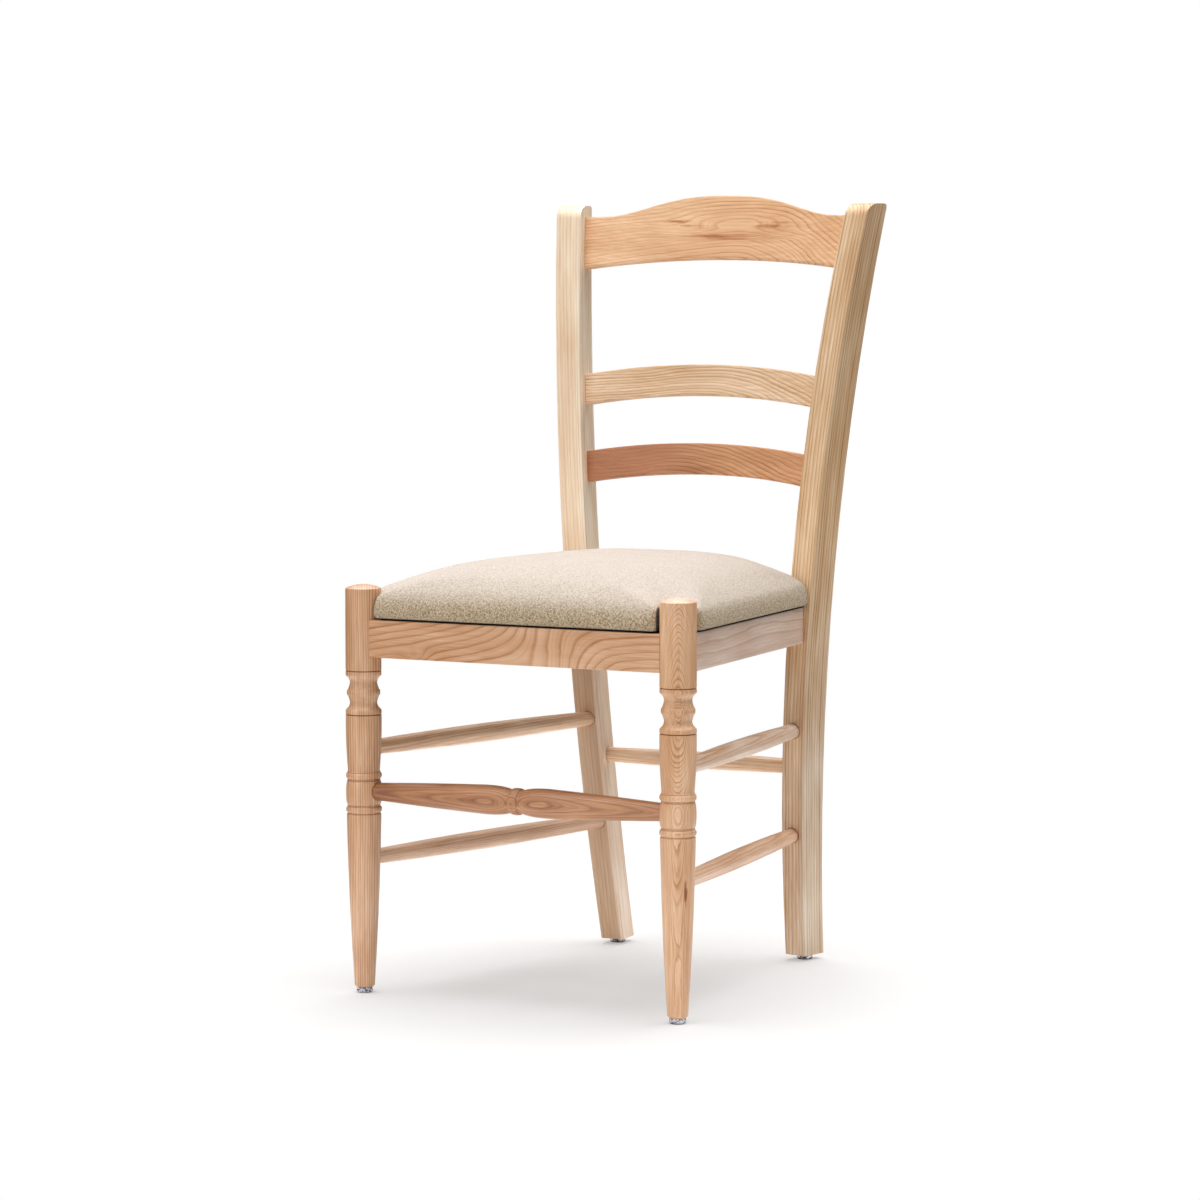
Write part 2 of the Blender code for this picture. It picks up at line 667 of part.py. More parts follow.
def side_rail_faces():
    """Two points on the right-hand side rail's outer face, at the leg and at the post, and
    its heading and outward direction."""
    at_leg = Vector((LEG_X + SIDE_RAIL_PROUD, 0.0, RAIL_MID_Z))
    outer = post_width(RAIL_MID_Z) / 2 - SIDE_RAIL_INSET
    at_post = post_point(1, RAIL_MID_Z, outer, 0.0)
    heading = (at_post - at_leg).normalized()
    return at_leg, at_post, heading, Vector((heading.y, -heading.x, 0.0))


RAIL_AT_LEG, RAIL_AT_POST, RAIL_HEADING, RAIL_OUTWARD = side_rail_faces()


def mirrored(point, side):
    return Vector((side * point.x, point.y, point.z))


def add_tenon(rail, name, root, heading, target):
    """Joins a tenon to a rail, from inside the rail to TENON_LENGTH past root, and cuts the
    mortise for it in the target."""
    start = root - heading * (TENON_LENGTH + OVERRUN)
    length = 2 * TENON_LENGTH + OVERRUN
    join(rail, block(name + "_tenon", start, heading, length, TENON_THICKNESS, TENON_HEIGHT, ASH_TAN))
    drill = (length + TIP_GAP, TENON_THICKNESS + 2 * FIT, TENON_HEIGHT + 2 * FIT)
    cut(target, block(name + "_mortise", start, heading, *drill, ASH_TAN))


def make_front_rail():
    y = RAIL_THICKNESS / 2 - FRONT_RAIL_PROUD
    start = Vector((-LEG_X, y, RAIL_MID_Z))
    heading = Vector((1.0, 0.0, 0.0))
    rail = block("seat_rail_front", start, heading, LEG_SPREAD, RAIL_THICKNESS, RAIL_HEIGHT, ASH_TAN)
    round_arrises(rail, RAIL_ARRIS)
    cut(rail, LEG_SHADOWS[1], LEG_SHADOWS[-1])
    for word, side in SIDES.items():
        root = Vector((side * (LEG_X - LEG_RADIUS), y, RAIL_MID_Z))
        add_tenon(rail, "front_rail_" + word, root, heading * side, LEGS[side])


def make_side_rail(word, side):
    heading = mirrored(RAIL_HEADING, side)
    middle = RAIL_AT_LEG - RAIL_OUTWARD * (RAIL_THICKNESS / 2)
    start = mirrored(middle, side)
    length = (RAIL_AT_POST - RAIL_AT_LEG).length + RAIL_THICKNESS / 2
    rail = block("seat_rail_" + word, start, heading, length, RAIL_THICKNESS, RAIL_HEIGHT, ASH_TAN)
    round_arrises(rail, RAIL_ARRIS)
    cut(rail, LEG_SHADOWS[side], POST_SHADOWS[side])
    leg_root = start + heading * LEG_RADIUS
    add_tenon(rail, "side_rail_front_" + word, leg_root, -heading, LEGS[side])
    half = RAIL_THICKNESS / 2 + SIDE_RAIL_INSET
    post_root = post_point(side, RAIL_MID_Z, post_width(RAIL_MID_Z) / 2 - half, 0.0)
    post_root = start + heading * (post_root - start).dot(heading)
    add_tenon(rail, "side_rail_back_" + word, post_root, heading, POSTS[side])


def back_rail_end():
    """Where the back rail's middle line meets the right-hand post's inner face."""
    return post_point(1, RAIL_MID_Z, -post_width(RAIL_MID_Z) / 2, post_depth(RAIL_MID_Z) / 2)


def make_back_rail():
    end = back_rail_end()
    heading = Vector((1.0, 0.0, 0.0))
    start = Vector((-end.x - RAIL_THICKNESS / 2, end.y, RAIL_MID_Z))
    length = 2 * end.x + RAIL_THICKNESS
    rail = block("seat_rail_back", start, heading, length, RAIL_THICKNESS, RAIL_HEIGHT, ASH_TAN)
    round_arrises(rail, RAIL_ARRIS)
    cut(rail, POST_SHADOWS[1], POST_SHADOWS[-1])
    for word, side in SIDES.items():
        add_tenon(rail, "back_rail_" + word, mirrored(end, side), heading * side, POSTS[side])


make_front_rail()
make_back_rail()
for word, side in SIDES.items():
    make_side_rail(word, side)


# Stretchers

def front_stretcher_profile(length):
    """Thin ends, a long swelling to each belly, and a bead between two necks at the middle."""
    middle = length / 2
    half = [(0.0, FRONT_STRETCHER_END_RADIUS - FIT), (FIT * 2, FRONT_STRETCHER_END_RADIUS)]
    belly = middle - FRONT_STRETCHER_BELLY_AT
    end, full = FRONT_STRETCHER_END_RADIUS, FRONT_STRETCHER_BELLY_RADIUS
    half += taper(SOCKET_DEPTH, end, belly, full, FRONT_STRETCHER_SWELL, BELLY_STEPS)
    neck = middle - FRONT_STRETCHER_BEAD_LENGTH / 2 - FRONT_STRETCHER_BEAD_QUIRK
    fall = full - FRONT_STRETCHER_NECK_RADIUS
    for k in range(1, NECK_STEPS + 1):
        share = k / NECK_STEPS
        height = belly + (neck - belly) * share
        half.append((height, full - fall * share ** FRONT_STRETCHER_NECK_FULLNESS))
    base, crest = FRONT_STRETCHER_NECK_RADIUS, FRONT_STRETCHER_BEAD_RADIUS
    crown = bead(middle, FRONT_STRETCHER_BEAD_LENGTH, base, crest, SMALL_BEAD_STEPS + 1)
    return half + crown + [(length - height, radius) for height, radius in reversed(half)]


def make_front_stretcher():
    reach = LEG_X - leg_radius_at(FRONT_STRETCHER_Z) + SOCKET_DEPTH
    start = Vector((-reach, 0.0, FRONT_STRETCHER_Z))
    end = Vector((reach, 0.0, FRONT_STRETCHER_Z))
    profile = front_stretcher_profile(2 * reach)
    aim(lathe("front_stretcher", profile, FRONT_STRETCHER_SEGMENTS, ASH_RED), start, end)
    for word, side in SIDES.items():
        mouth = Vector((side * (reach - SOCKET_DEPTH), 0.0, FRONT_STRETCHER_Z))
        bottom = Vector((side * reach, 0.0, FRONT_STRETCHER_Z))
        drill = socket("front_stretcher_socket_" + word, mouth, bottom, FRONT_STRETCHER_END_RADIUS)
        cut(LEGS[side], drill)


def make_side_stretcher(level, z, word, side):
    on_leg = leg_axis_point(side, z)
    on_post = post_point(side, z, 0.0, 0.0)
    heading = (on_post - on_leg).normalized()
    mouth = on_leg + heading * leg_radius_at(z)
    start = mouth - heading * SOCKET_DEPTH
    end = on_post + heading * SOCKET_DEPTH
    name = "side_stretcher_" + level + "_" + word
    make_rung(name, start, end, SIDE_STRETCHER_END_RADIUS, SIDE_STRETCHER_BELLY_RADIUS, ASH_TAN)
    cut(LEGS[side], socket(name + "_front_socket", mouth, start, SIDE_STRETCHER_END_RADIUS))
    cut(POSTS[side], socket(name + "_back_socket", on_post, end, SIDE_STRETCHER_END_RADIUS))


def make_back_stretcher():
    z = BACK_STRETCHER_Z
    face = post_point(1, z, -post_width(z) / 2, post_depth(z) / 2)
    reach = face.x + SOCKET_DEPTH
    start = Vector((-reach, face.y, z))
    end = Vector((reach, face.y, z))
    make_rung("back_stretcher", start, end, BACK_STRETCHER_END_RADIUS, BACK_STRETCHER_BELLY_RADIUS, ASH_PALE)
    for word, side in SIDES.items():
        mouth = mirrored(face, side)
        bottom = Vector((side * reach, face.y, z))
        drill = socket("back_stretcher_socket_" + word, mouth, bottom, BACK_STRETCHER_END_RADIUS)
        cut(POSTS[side], drill)


make_front_stretcher()
make_back_stretcher()
for word, side in SIDES.items():
    make_side_stretcher("upper", UPPER_STRETCHER_Z, word, side)
    make_side_stretcher("lower", LOWER_STRETCHER_Z, word, side)


# Glides

def glide_profile():
    """A pressed cup with a rounded lip, hollowed beneath for the nail's head. Its profile is
    a closed loop round the hole, as (height, radius)."""
    hole = NAIL_SHANK_RADIUS + FIT
    lip = GLIDE_RADIUS - GLIDE_LIP_ROUND
    eased = math.sin(math.pi / 4)
    return [
        (0.0, GLIDE_RECESS_RADIUS),
        (0.0, lip),
        (GLIDE_LIP_ROUND * (1 - eased), lip + GLIDE_LIP_ROUND * eased),
        (GLIDE_LIP_ROUND, GLIDE_RADIUS),
        (GLIDE_HEIGHT, GLIDE_RADIUS),
        (GLIDE_HEIGHT, hole),
        (GLIDE_RECESS_DEPTH, hole),
        (GLIDE_RECESS_DEPTH, GLIDE_RECESS_RADIUS),
    ]


def turned_ring(name, loop, segments, material):
    """A closed loop of (height, radius) swept once round z."""
    bm = bmesh.new()
    rows = []
    for k in range(segments):
        turn = math.tau * k / segments
        rows.append([bm.verts.new((r * math.cos(turn), r * math.sin(turn), z)) for z, r in loop])
    for k in range(segments):
        this, other = rows[k], rows[(k + 1) % segments]
        for i in range(len(loop)):
            j = (i + 1) % len(loop)
            bm.faces.new((this[i], this[j], other[j], other[i]))
    return add_object(name, bm, material)


def nail_profile(grow=0.0):
    """The nail from its head up to its point. Grow gives the hole that it is driven into."""
    head = GLIDE_RECESS_DEPTH - FIT - NAIL_HEAD_HEIGHT
    tip = head + NAIL_LENGTH
    shank = NAIL_SHANK_RADIUS + grow
    if grow:
        return [(0.0, shank), (tip - NAIL_POINT, shank), (tip + TIP_GAP, 0.0)]
    root = head + NAIL_HEAD_HEIGHT
    dome = [(head, NAIL_CROWN_RADIUS), (head + NAIL_HEAD_HEIGHT / 2, NAIL_HEAD_RADIUS)]
    return dome + [(root, NAIL_HEAD_RADIUS), (root, shank), (tip - NAIL_POINT, shank), (tip, 0.0)]


def make_glide(word, foot, spot):
    glide = turned_ring("glide_" + word, glide_profile(), GLIDE_SEGMENTS, NICKEL)
    nail = lathe("glide_nail_" + word, nail_profile(), SMALL_SEGMENTS, NICKEL)
    hole = lathe("nail_hole_" + word, nail_profile(FIT), SMALL_SEGMENTS, NICKEL)
    for piece in (glide, nail, hole):
        piece.location = (spot.x, spot.y, 0.0)
    cut(foot, hole)


for word, side in SIDES.items():
    make_glide("front_" + word, LEGS[side], leg_axis_point(side, 0.0))
    post_foot = post_point(side, LEG_FOOT_Z, 0.0, post_depth(LEG_FOOT_Z) / 2)
    make_glide("back_" + word, POSTS[side], post_foot)


# Seat pad

# A corner of the pad's border, with the steps of its arc and of the edge after it, and
# whether that edge bulges
PadCorner = namedtuple("PadCorner", "x y rounding arc_steps edge_steps bulges")


def pad_corners():
    """The right-hand half of the pad's border, from the front's middle to the back's. The
    border is notched square round the leg and fitted round the post."""
    notch = LEG_RADIUS + PAD_LEG_CLEARANCE
    front = -FRONT_RAIL_PROUD + PAD_BORDER_INSET
    slope = RAIL_HEADING.x / RAIL_HEADING.y
    flank = RAIL_AT_LEG.x + PAD_SIDE_OVERHANG * RAIL_OUTWARD.x
    face = post_point(1, PAD_Z, post_width(PAD_Z) / 2 - SIDE_RAIL_INSET, -PAD_POST_CLEARANCE)
    across = -post_width(PAD_Z) / 2 - PAD_POST_CLEARANCE
    inner = post_point(1, PAD_Z, across, -PAD_POST_CLEARANCE)
    rear = back_rail_end().y + RAIL_THICKNESS / 2 - PAD_BORDER_INSET
    rear_x = inner.x + (rear - inner.y) * math.tan(POST_TOE_IN)
    return [
        PadCorner(LEG_X - notch, front, PAD_CORNER_ROUND, 2, 1, False),
        PadCorner(LEG_X - notch, notch, PAD_NOTCH_ROUND, 1, 1, False),
        PadCorner(flank + notch * slope, notch, PAD_CORNER_ROUND, 2, PAD_SIDE_STEPS, True),
        PadCorner(flank + face.y * slope, face.y, PAD_CORNER_ROUND, 2, 1, False),
        PadCorner(inner.x, inner.y, PAD_NOTCH_ROUND, 1, 1, False),
        PadCorner(rear_x, rear, PAD_CORNER_ROUND, 2, PAD_REAR_STEPS, True),
    ]


PAD_CORNERS = pad_corners()
PAD_FRONT_Y = PAD_CORNERS[0].y
PAD_REAR_Y = PAD_CORNERS[-1].y


def whole_border():
    """All twelve corners, counter-clockwise from the right of the front edge."""
    left = []
    for index, corner in reversed(list(enumerate(PAD_CORNERS))):
        if index > 0:
            before = PAD_CORNERS[index - 1]
            left.append(corner._replace(x=-corner.x, edge_steps=before.edge_steps, bulges=before.bulges))
        else:
            left.append(corner._replace(x=-corner.x, edge_steps=PAD_FRONT_STEPS, bulges=True))
    return PAD_CORNERS + left


def edge_inset(inset, bulges):
    """How far an edge lies inside the border on the ring at this inset. Edges round the legs
    and posts are held back from the bulge."""
    if bulges or inset >= PAD_SHOULDER:
        return inset
    return PAD_SHOULDER * (inset + PAD_BULGE) / (PAD_SHOULDER + PAD_BULGE)


def moved_corner(before, here, after, inset_before, inset_after):
    """Where two edges of the border meet when each is moved inwards by its own inset."""
    first = (here - before).normalized()
    second = (after - here).normalized()
    inward_first = Vector((-first.y, first.x))
    turn = first.x * second.y - first.y * second.x
    slide = (inset_after - inset_before * first.dot(second)) / turn
    return here + inward_first * inset_before - first * slide, turn > 0


def rounded_border(inset):
    """The border at this inset with its corners rounded, always with as many points."""
    border = whole_border()
    spots = [Vector((corner.x, corner.y)) for corner in border]
    count = len(border)
    arcs = []
    corners = []
    for i in range(count):
        inset_before = edge_inset(inset, border[i - 1].bulges)
        inset_after = edge_inset(inset, border[i].bulges)
        around = (spots[i - 1], spots[i], spots[(i + 1) % count])
        corners.append(moved_corner(*around, inset_before, inset_after))
    for i, (here, convex) in enumerate(corners):
        rounding = max(border[i].rounding + (-inset if convex else inset), MM)
        to_before = (corners[i - 1][0] - here).normalized()
        to_after = (corners[(i + 1) % count][0] - here).normalized()
        reach = rounding / math.tan(to_before.angle(to_after) / 2)
        start = here + to_before * reach
        end = here + to_after * reach
        steps = border[i].arc_steps
        shares = [k / steps for k in range(steps + 1)]
        arcs.append([start * (1 - t) ** 2 + here * (2 * t * (1 - t)) + end * t ** 2 for t in shares])
    outline = []
    for i, arc in enumerate(arcs):
        outline += arc
        edge_end = arcs[(i + 1) % count][0]
        edge_steps = border[i].edge_steps
        outline += [arc[-1].lerp(edge_end, k / edge_steps) for k in range(1, edge_steps)]
    return outline


def pad_crown(x, y):
    """How much the stuffing lifts the pad's top here."""
    half_depth = (PAD_REAR_Y - PAD_FRONT_Y) / 2
    middle = (PAD_REAR_Y + PAD_FRONT_Y) / 2
    half_width = RAIL_AT_LEG.x + y * RAIL_HEADING.x / RAIL_HEADING.y
    across = min(abs(x) / half_width, 1.0) ** PAD_CROWN_ACROSS
    along = min(abs(y - middle) / half_depth, 1.0) ** PAD_CROWN_ALONG
    return PAD_CROWN * (1 - across) * (1 - along)


def pad_ring(inset, lift, under=0.0):
    """One ring of the pad's skin at this inset from its border and lift above its bottom.
    Under is how far beneath the outer skin the ring lies."""
    share = min(max(lift / PAD_SIDE_HEIGHT, 0.0), 1.0)
    ring = []
    for point in rounded_border(inset):
        z = PAD_Z + lift + pad_crown(point.x, point.y) * share ** 2 - under
        ring.append(Vector((point.x, point.y, z)))
    return ring


def pad_side(under, steps):
    """(inset, lift) up the pad's side and over its shoulder: it swells past its border, then
    curves in. Under lays it that much inside the outer skin."""
    lean = math.radians(45)
    below = (-PAD_BULGE * math.sin(lean), PAD_BELLY_HEIGHT * (1 - math.cos(lean)))
    pairs = [(0.0, 0.0), below, (-PAD_BULGE, PAD_BELLY_HEIGHT)]
    power = 2 / PAD_SHOULDER_FULLNESS
    for k in range(1, steps + 1):
        turn = math.pi / 2 * k / steps
        inset = PAD_SHOULDER - (PAD_SHOULDER + PAD_BULGE) * math.cos(turn) ** power
        lift = PAD_BELLY_HEIGHT + (PAD_SIDE_HEIGHT - PAD_BELLY_HEIGHT) * math.sin(turn) ** power
        pairs.append((inset, lift))
    return [(inset + under, lift) for inset, lift in pairs]


def pad_skin(under, lowest, side_steps, crown_rings):
    """Rings from the pad's lower edge up to the middle of its crown. Rings below the lowest
    height are left out, and their place is taken by one at that height."""
    side = pad_side(under, side_steps)
    lifts = [lift for _, lift in side]
    insets = [inset for inset, _ in side]
    start = lowest - PAD_Z
    lowest_inset = float(np.interp(start + under, lifts, insets))
    rings = [[Vector((p.x, p.y, lowest)) for p in rounded_border(lowest_inset)]]
    rings += [pad_ring(inset, lift, under) for inset, lift in side if lift - under > start]
    shoulder = rings[-1]
    middle_y = (PAD_REAR_Y + PAD_FRONT_Y) / 2
    top = PAD_Z + PAD_SIDE_HEIGHT - under
    for share in crown_rings:
        spots = [(p.x * share, middle_y + (p.y - middle_y) * share) for p in shoulder]
        rings.append([Vector((x, y, top + pad_crown(x, y))) for x, y in spots])
    rings.append([Vector((0.0, middle_y, top + pad_crown(0.0, middle_y)))])
    return rings


def make_cover():
    """The fabric: its crown and sides, and a strip turned under the board, open beneath."""
    return_ring = [Vector((p.x, p.y, PAD_Z)) for p in rounded_border(COVER_RETURN)]
    return_top = [Vector((p.x, p.y, PAD_Z + COVER_THICKNESS)) for p in rounded_border(COVER_RETURN)]
    outside = pad_skin(0.0, PAD_Z, PAD_SHOULDER_STEPS, PAD_CROWN_RINGS)
    inner_rings = (PAD_INNER_SHOULDER_STEPS, PAD_INNER_CROWN_RINGS)
    inside = pad_skin(COVER_THICKNESS, PAD_Z + COVER_THICKNESS, *inner_rings)
    return loft("seat_cover", outside[::-1] + [return_ring, return_top] + inside, FABRIC)


def make_pad():
    cover = make_cover()
    inner_rings = (PAD_INNER_SHOULDER_STEPS, PAD_INNER_CROWN_RINGS)
    foam = loft("seat_foam", pad_skin(COVER_THICKNESS + FIT, FOAM_Z, *inner_rings), FOAM)
    board_outline = [(p.x, p.y) for p in rounded_border(BOARD_INSET)]
    board = prism("seat_board", board_outline, BOARD_Z, BOARD_Z + BOARD_THICKNESS, PLYWOOD)
    cloth_outline = [(p.x, p.y) for p in rounded_border(BOTTOM_CLOTH_INSET)]
    cloth_top = CLOTH_Z + BOTTOM_CLOTH_THICKNESS
    cloth = prism("seat_bottom_cloth", cloth_outline, CLOTH_Z, cloth_top, BLACK_CLOTH)
    return cover, foam, board, cloth


COVER, SEAT_FOAM, BOARD, BOTTOM_CLOTH = make_pad()


# Corner blocks and screws

def screw_profile(length, grow=0.0):
    """A countersunk screw from its head's face up to its point. Grow gives its hole."""
    if grow:
        shank = SCREW_SHANK_RADIUS + grow
        return [(0.0, shank), (length - SCREW_POINT, shank), (length + TIP_GAP, 0.0)]
    shank = SCREW_SHANK_RADIUS
    head = [(0.0, SCREW_HEAD_RADIUS), (SCREW_HEAD_RIM, SCREW_HEAD_RADIUS)]
    return head + [(SCREW_HEAD_HEIGHT, shank), (length - SCREW_POINT, shank), (length, 0.0)]


def pocket_profile(length):
    """The stepped drill for a screw that passes right through: wide for its head, then the
    countersink, then narrow."""
    wide = SCREW_HEAD_RADIUS + FIT
    narrow = SCREW_SHANK_RADIUS + FIT
    steps = [(-BLOCK_REACH / 2, wide), (SCREW_HEAD_RIM + FIT, wide)]
    return steps + [(SCREW_HEAD_HEIGHT + FIT, narrow), (length, narrow)]


def drive_screw(name, seat, heading, length, headed, others):
    """Puts a screw with its head's face at seat, pointing along heading. The headed piece is
    drilled through with a pocket for the head, and the others get the plain hole."""
    aim(lathe(name, screw_profile(length), SMALL_SEGMENTS, ZINC), seat, seat + heading)
    hole = lathe(name + "_hole", screw_profile(length, FIT), SMALL_SEGMENTS, ZINC)
    aim(hole, seat, seat + heading)
    pocket = lathe(name + "_pocket", pocket_profile(length), SMALL_SEGMENTS, ZINC)
    aim(pocket, seat, seat + heading)
    cut(headed, pocket)
    for piece in others:
        cut(piece, hole)


def inner_corner(at_front):
    """Where the inner faces of a cross rail and the right-hand side rail meet in plan."""
    if at_front:
        y = RAIL_THICKNESS - FRONT_RAIL_PROUD + FIT
    else:
        y = back_rail_end().y - RAIL_THICKNESS / 2 - FIT
    inner = RAIL_AT_LEG - RAIL_OUTWARD * (RAIL_THICKNESS + FIT)
    return Vector((inner.x + (y - inner.y) * RAIL_HEADING.x / RAIL_HEADING.y, y, 0.0))


def make_corner_block(place, at_front, word, side):
    corner = inner_corner(at_front)
    along_cross = Vector((-1.0, 0.0, 0.0))
    along_side = RAIL_HEADING if at_front else -RAIL_HEADING
    plan = [
        corner + along_cross * BLOCK_RELIEF,
        corner + along_cross * BLOCK_REACH,
        corner + along_side * BLOCK_REACH,
        corner + along_side * BLOCK_RELIEF,
    ]
    top = RAIL_TOP_Z - BLOCK_DROP
    low = top - BLOCK_HEIGHT
    outline = [(side * p.x, p.y) for p in plan]
    made = prism("corner_block_" + place + "_" + word, outline, low, top, BLOCK_WOOD)
    cross_rail = bpy.data.objects["seat_rail_front" if at_front else "seat_rail_back"]
    side_rail = bpy.data.objects["seat_rail_" + word]
    name = "block_screw_" + place + "_" + word
    towards_cross = Vector((0.0, -1.0 if at_front else 1.0, 0.0))
    level = Vector((0.0, 0.0, (low + top) / 2))
    seat = corner + along_cross * BLOCK_SCREW_AT - towards_cross * BLOCK_SCREW_WOOD + level
    drive_screw(name + "_a", mirrored(seat, side), towards_cross, BLOCK_SCREW_LENGTH, made, [cross_rail])
    outward = Vector((RAIL_OUTWARD.x, RAIL_OUTWARD.y, 0.0))
    seat = corner + along_side * BLOCK_SCREW_AT - outward * BLOCK_SCREW_WOOD + level
    heading = mirrored(outward, side)
    drive_screw(name + "_b", mirrored(seat, side), heading, BLOCK_SCREW_LENGTH, made, [side_rail])
    spot = corner + (along_cross + along_side) * SEAT_SCREW_AT
    spot.z = top - SEAT_SCREW_WOOD
    length = BOARD_Z + SEAT_SCREW_BITE - spot.z
    upward = Vector((0.0, 0.0, 1.0))
    screw = "seat_screw_" + place + "_" + word
    drive_screw(screw, mirrored(spot, side), upward, length, made, [BOTTOM_CLOTH, COVER, BOARD])


for word, side in SIDES.items():
    make_corner_block("front", True, word, side)
    make_corner_block("back", False, word, side)


def centre_footprint():
    """Moves the chair so that its box is centred on the origin, front to back."""
    bpy.context.view_layer.update()
    graph = bpy.context.evaluated_depsgraph_get()
    depths = []
    for piece in CHAIR.children:
        if piece.hide_render:
            continue
        shown = piece.evaluated_get(graph)
        depths += [(shown.matrix_world @ Vector(corner)).y for corner in shown.bound_box]
    CHAIR.location.y = -(min(depths) + max(depths)) / 2
    bpy.context.view_layer.update()


centre_footprint()
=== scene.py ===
"""Looks of a ladder-back dining chair in clear-finished ash with a woollen seat pad.

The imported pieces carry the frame. The front legs and the front stretcher are turned again here
with a finer profile, and the seat pad is upholstered over its board. Lengths are in millimetres
until a mesh is made.
"""

import json
import math

import bmesh
import bpy
import numpy as np
from mathutils import Matrix, Vector

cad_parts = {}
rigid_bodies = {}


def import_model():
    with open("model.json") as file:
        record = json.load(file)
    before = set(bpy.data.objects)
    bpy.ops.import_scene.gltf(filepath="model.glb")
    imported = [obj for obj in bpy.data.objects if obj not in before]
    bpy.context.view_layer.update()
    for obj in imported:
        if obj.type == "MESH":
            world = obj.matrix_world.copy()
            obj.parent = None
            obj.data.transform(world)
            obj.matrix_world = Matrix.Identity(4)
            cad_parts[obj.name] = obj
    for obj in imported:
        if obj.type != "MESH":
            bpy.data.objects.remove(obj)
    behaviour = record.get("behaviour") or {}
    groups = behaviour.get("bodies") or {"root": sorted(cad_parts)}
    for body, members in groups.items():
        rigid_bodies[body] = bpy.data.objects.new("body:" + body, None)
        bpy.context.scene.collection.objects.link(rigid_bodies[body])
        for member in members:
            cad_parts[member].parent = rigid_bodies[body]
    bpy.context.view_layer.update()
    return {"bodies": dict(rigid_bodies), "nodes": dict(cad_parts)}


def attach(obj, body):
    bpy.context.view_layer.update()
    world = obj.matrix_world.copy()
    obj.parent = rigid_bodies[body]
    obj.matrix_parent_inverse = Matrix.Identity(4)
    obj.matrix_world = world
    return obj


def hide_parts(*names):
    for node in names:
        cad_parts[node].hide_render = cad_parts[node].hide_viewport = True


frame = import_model()

MM = 0.001
NODES = frame["nodes"]
ROOT = next(iter(frame["bodies"]))
SMOOTH_ANGLE = math.radians(32)
WHITE = (1.0, 1.0, 1.0, 1.0)

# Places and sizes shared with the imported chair
LEG_X = 197.65
LEG_Y = -233.54
LEG_RADIUS = 20.0
LEG_RIM_Z = 450.0
LEG_TOP_Z = 454.0
LEG_LINES = (310.0, 358.5)
STRETCHER_Z = 225.0
STRETCHER_REACH = 191.71
STRETCHER_END_RADIUS = 9.8
RUNG_END_RADIUS = 8.5
PAD_Z = 417.4


# Shader building

class Nodes:
    """Short calls for the nodes of one tree. A number, a tuple or another node's output can be
    given wherever a value goes in."""

    def __init__(self, tree):
        self.tree = tree

    def put(self, socket, value):
        if isinstance(value, bpy.types.NodeSocket):
            self.tree.links.new(value, socket)
        elif value is not None:
            socket.default_value = value

    def node(self, kind, *values, **settings):
        made = self.tree.nodes.new(kind)
        for key, value in settings.items():
            setattr(made, key, value)
        for socket, value in zip(made.inputs, values):
            self.put(socket, value)
        return made

    def object_place(self):
        """The point on the chair, in millimetres."""
        place = self.node("ShaderNodeTexCoord").outputs["Object"]
        return self.vector("SCALE", place, scale=1 / MM)

    def math(self, operation, *values):
        return self.node("ShaderNodeMath", *values, operation=operation).outputs[0]

    def madd(self, value, times, onto):
        return self.math("MULTIPLY_ADD", value, times, onto)

    def distance(self, first, second):
        return self.math("ABSOLUTE", self.math("SUBTRACT", first, second))

    def hypot(self, first, second):
        squares = [self.math("MULTIPLY", value, value) for value in (first, second)]
        return self.math("SQRT", self.math("ADD", *squares))

    def vector(self, operation, *values, scale=None):
        made = self.node("ShaderNodeVectorMath", *values, operation=operation)
        self.put(made.inputs[3], scale)
        return made.outputs["Value" if operation in ("DOT_PRODUCT", "LENGTH") else "Vector"]

    def combine(self, x, y, z):
        return self.node("ShaderNodeCombineXYZ", x, y, z).outputs[0]

    def part(self, value, axis):
        """The X, Y or Z of a vector."""
        return self.node("ShaderNodeSeparateXYZ", value).outputs[axis]

    def texture(self, kind, place, scale=1.0, **settings):
        made = self.node(kind, **settings)
        self.put(made.inputs["Vector"], place)
        made.inputs["Scale"].default_value = scale
        return made

    def noise(self, place, detail=2.0, roughness=0.5, scale=1.0):
        made = self.texture("ShaderNodeTexNoise", place, scale)
        made.inputs["Detail"].default_value = detail
        made.inputs["Roughness"].default_value = roughness
        return made.outputs["Fac"]

    def spread(self, value, low, high, to_low=0.0, to_high=1.0):
        """Maps the range low to high onto another and holds it there."""
        return self.node("ShaderNodeMapRange", value, low, high, to_low, to_high).outputs[0]

    def ramp(self, value, stops):
        made = self.node("ShaderNodeValToRGB", value)
        elements = made.color_ramp.elements
        while len(elements) < len(stops):
            elements.new(0.5)
        for element, (position, level) in zip(elements, stops):
            element.position = position
            element.color = (level, level, level, 1.0)
        return made.outputs["Color"]

    def curve(self, value, points):
        """A value read off a smooth curve through points whose first numbers run from 0 to 1."""
        made = self.node("ShaderNodeFloatCurve")
        self.put(made.inputs["Value"], value)
        line = made.mapping.curves[0]
        made.mapping.use_clip = False
        line.points[0].location = points[0]
        line.points[1].location = points[-1]
        for point in points[1:-1]:
            line.points.new(*point)
        made.mapping.update()
        return made.outputs["Value"]

    def mix(self, share, first, second):
        made = self.node("ShaderNodeMix", data_type="RGBA")
        self.put(made.inputs[0], share)
        self.put(made.inputs[6], first)
        self.put(made.inputs[7], second)
        return made.outputs[2]


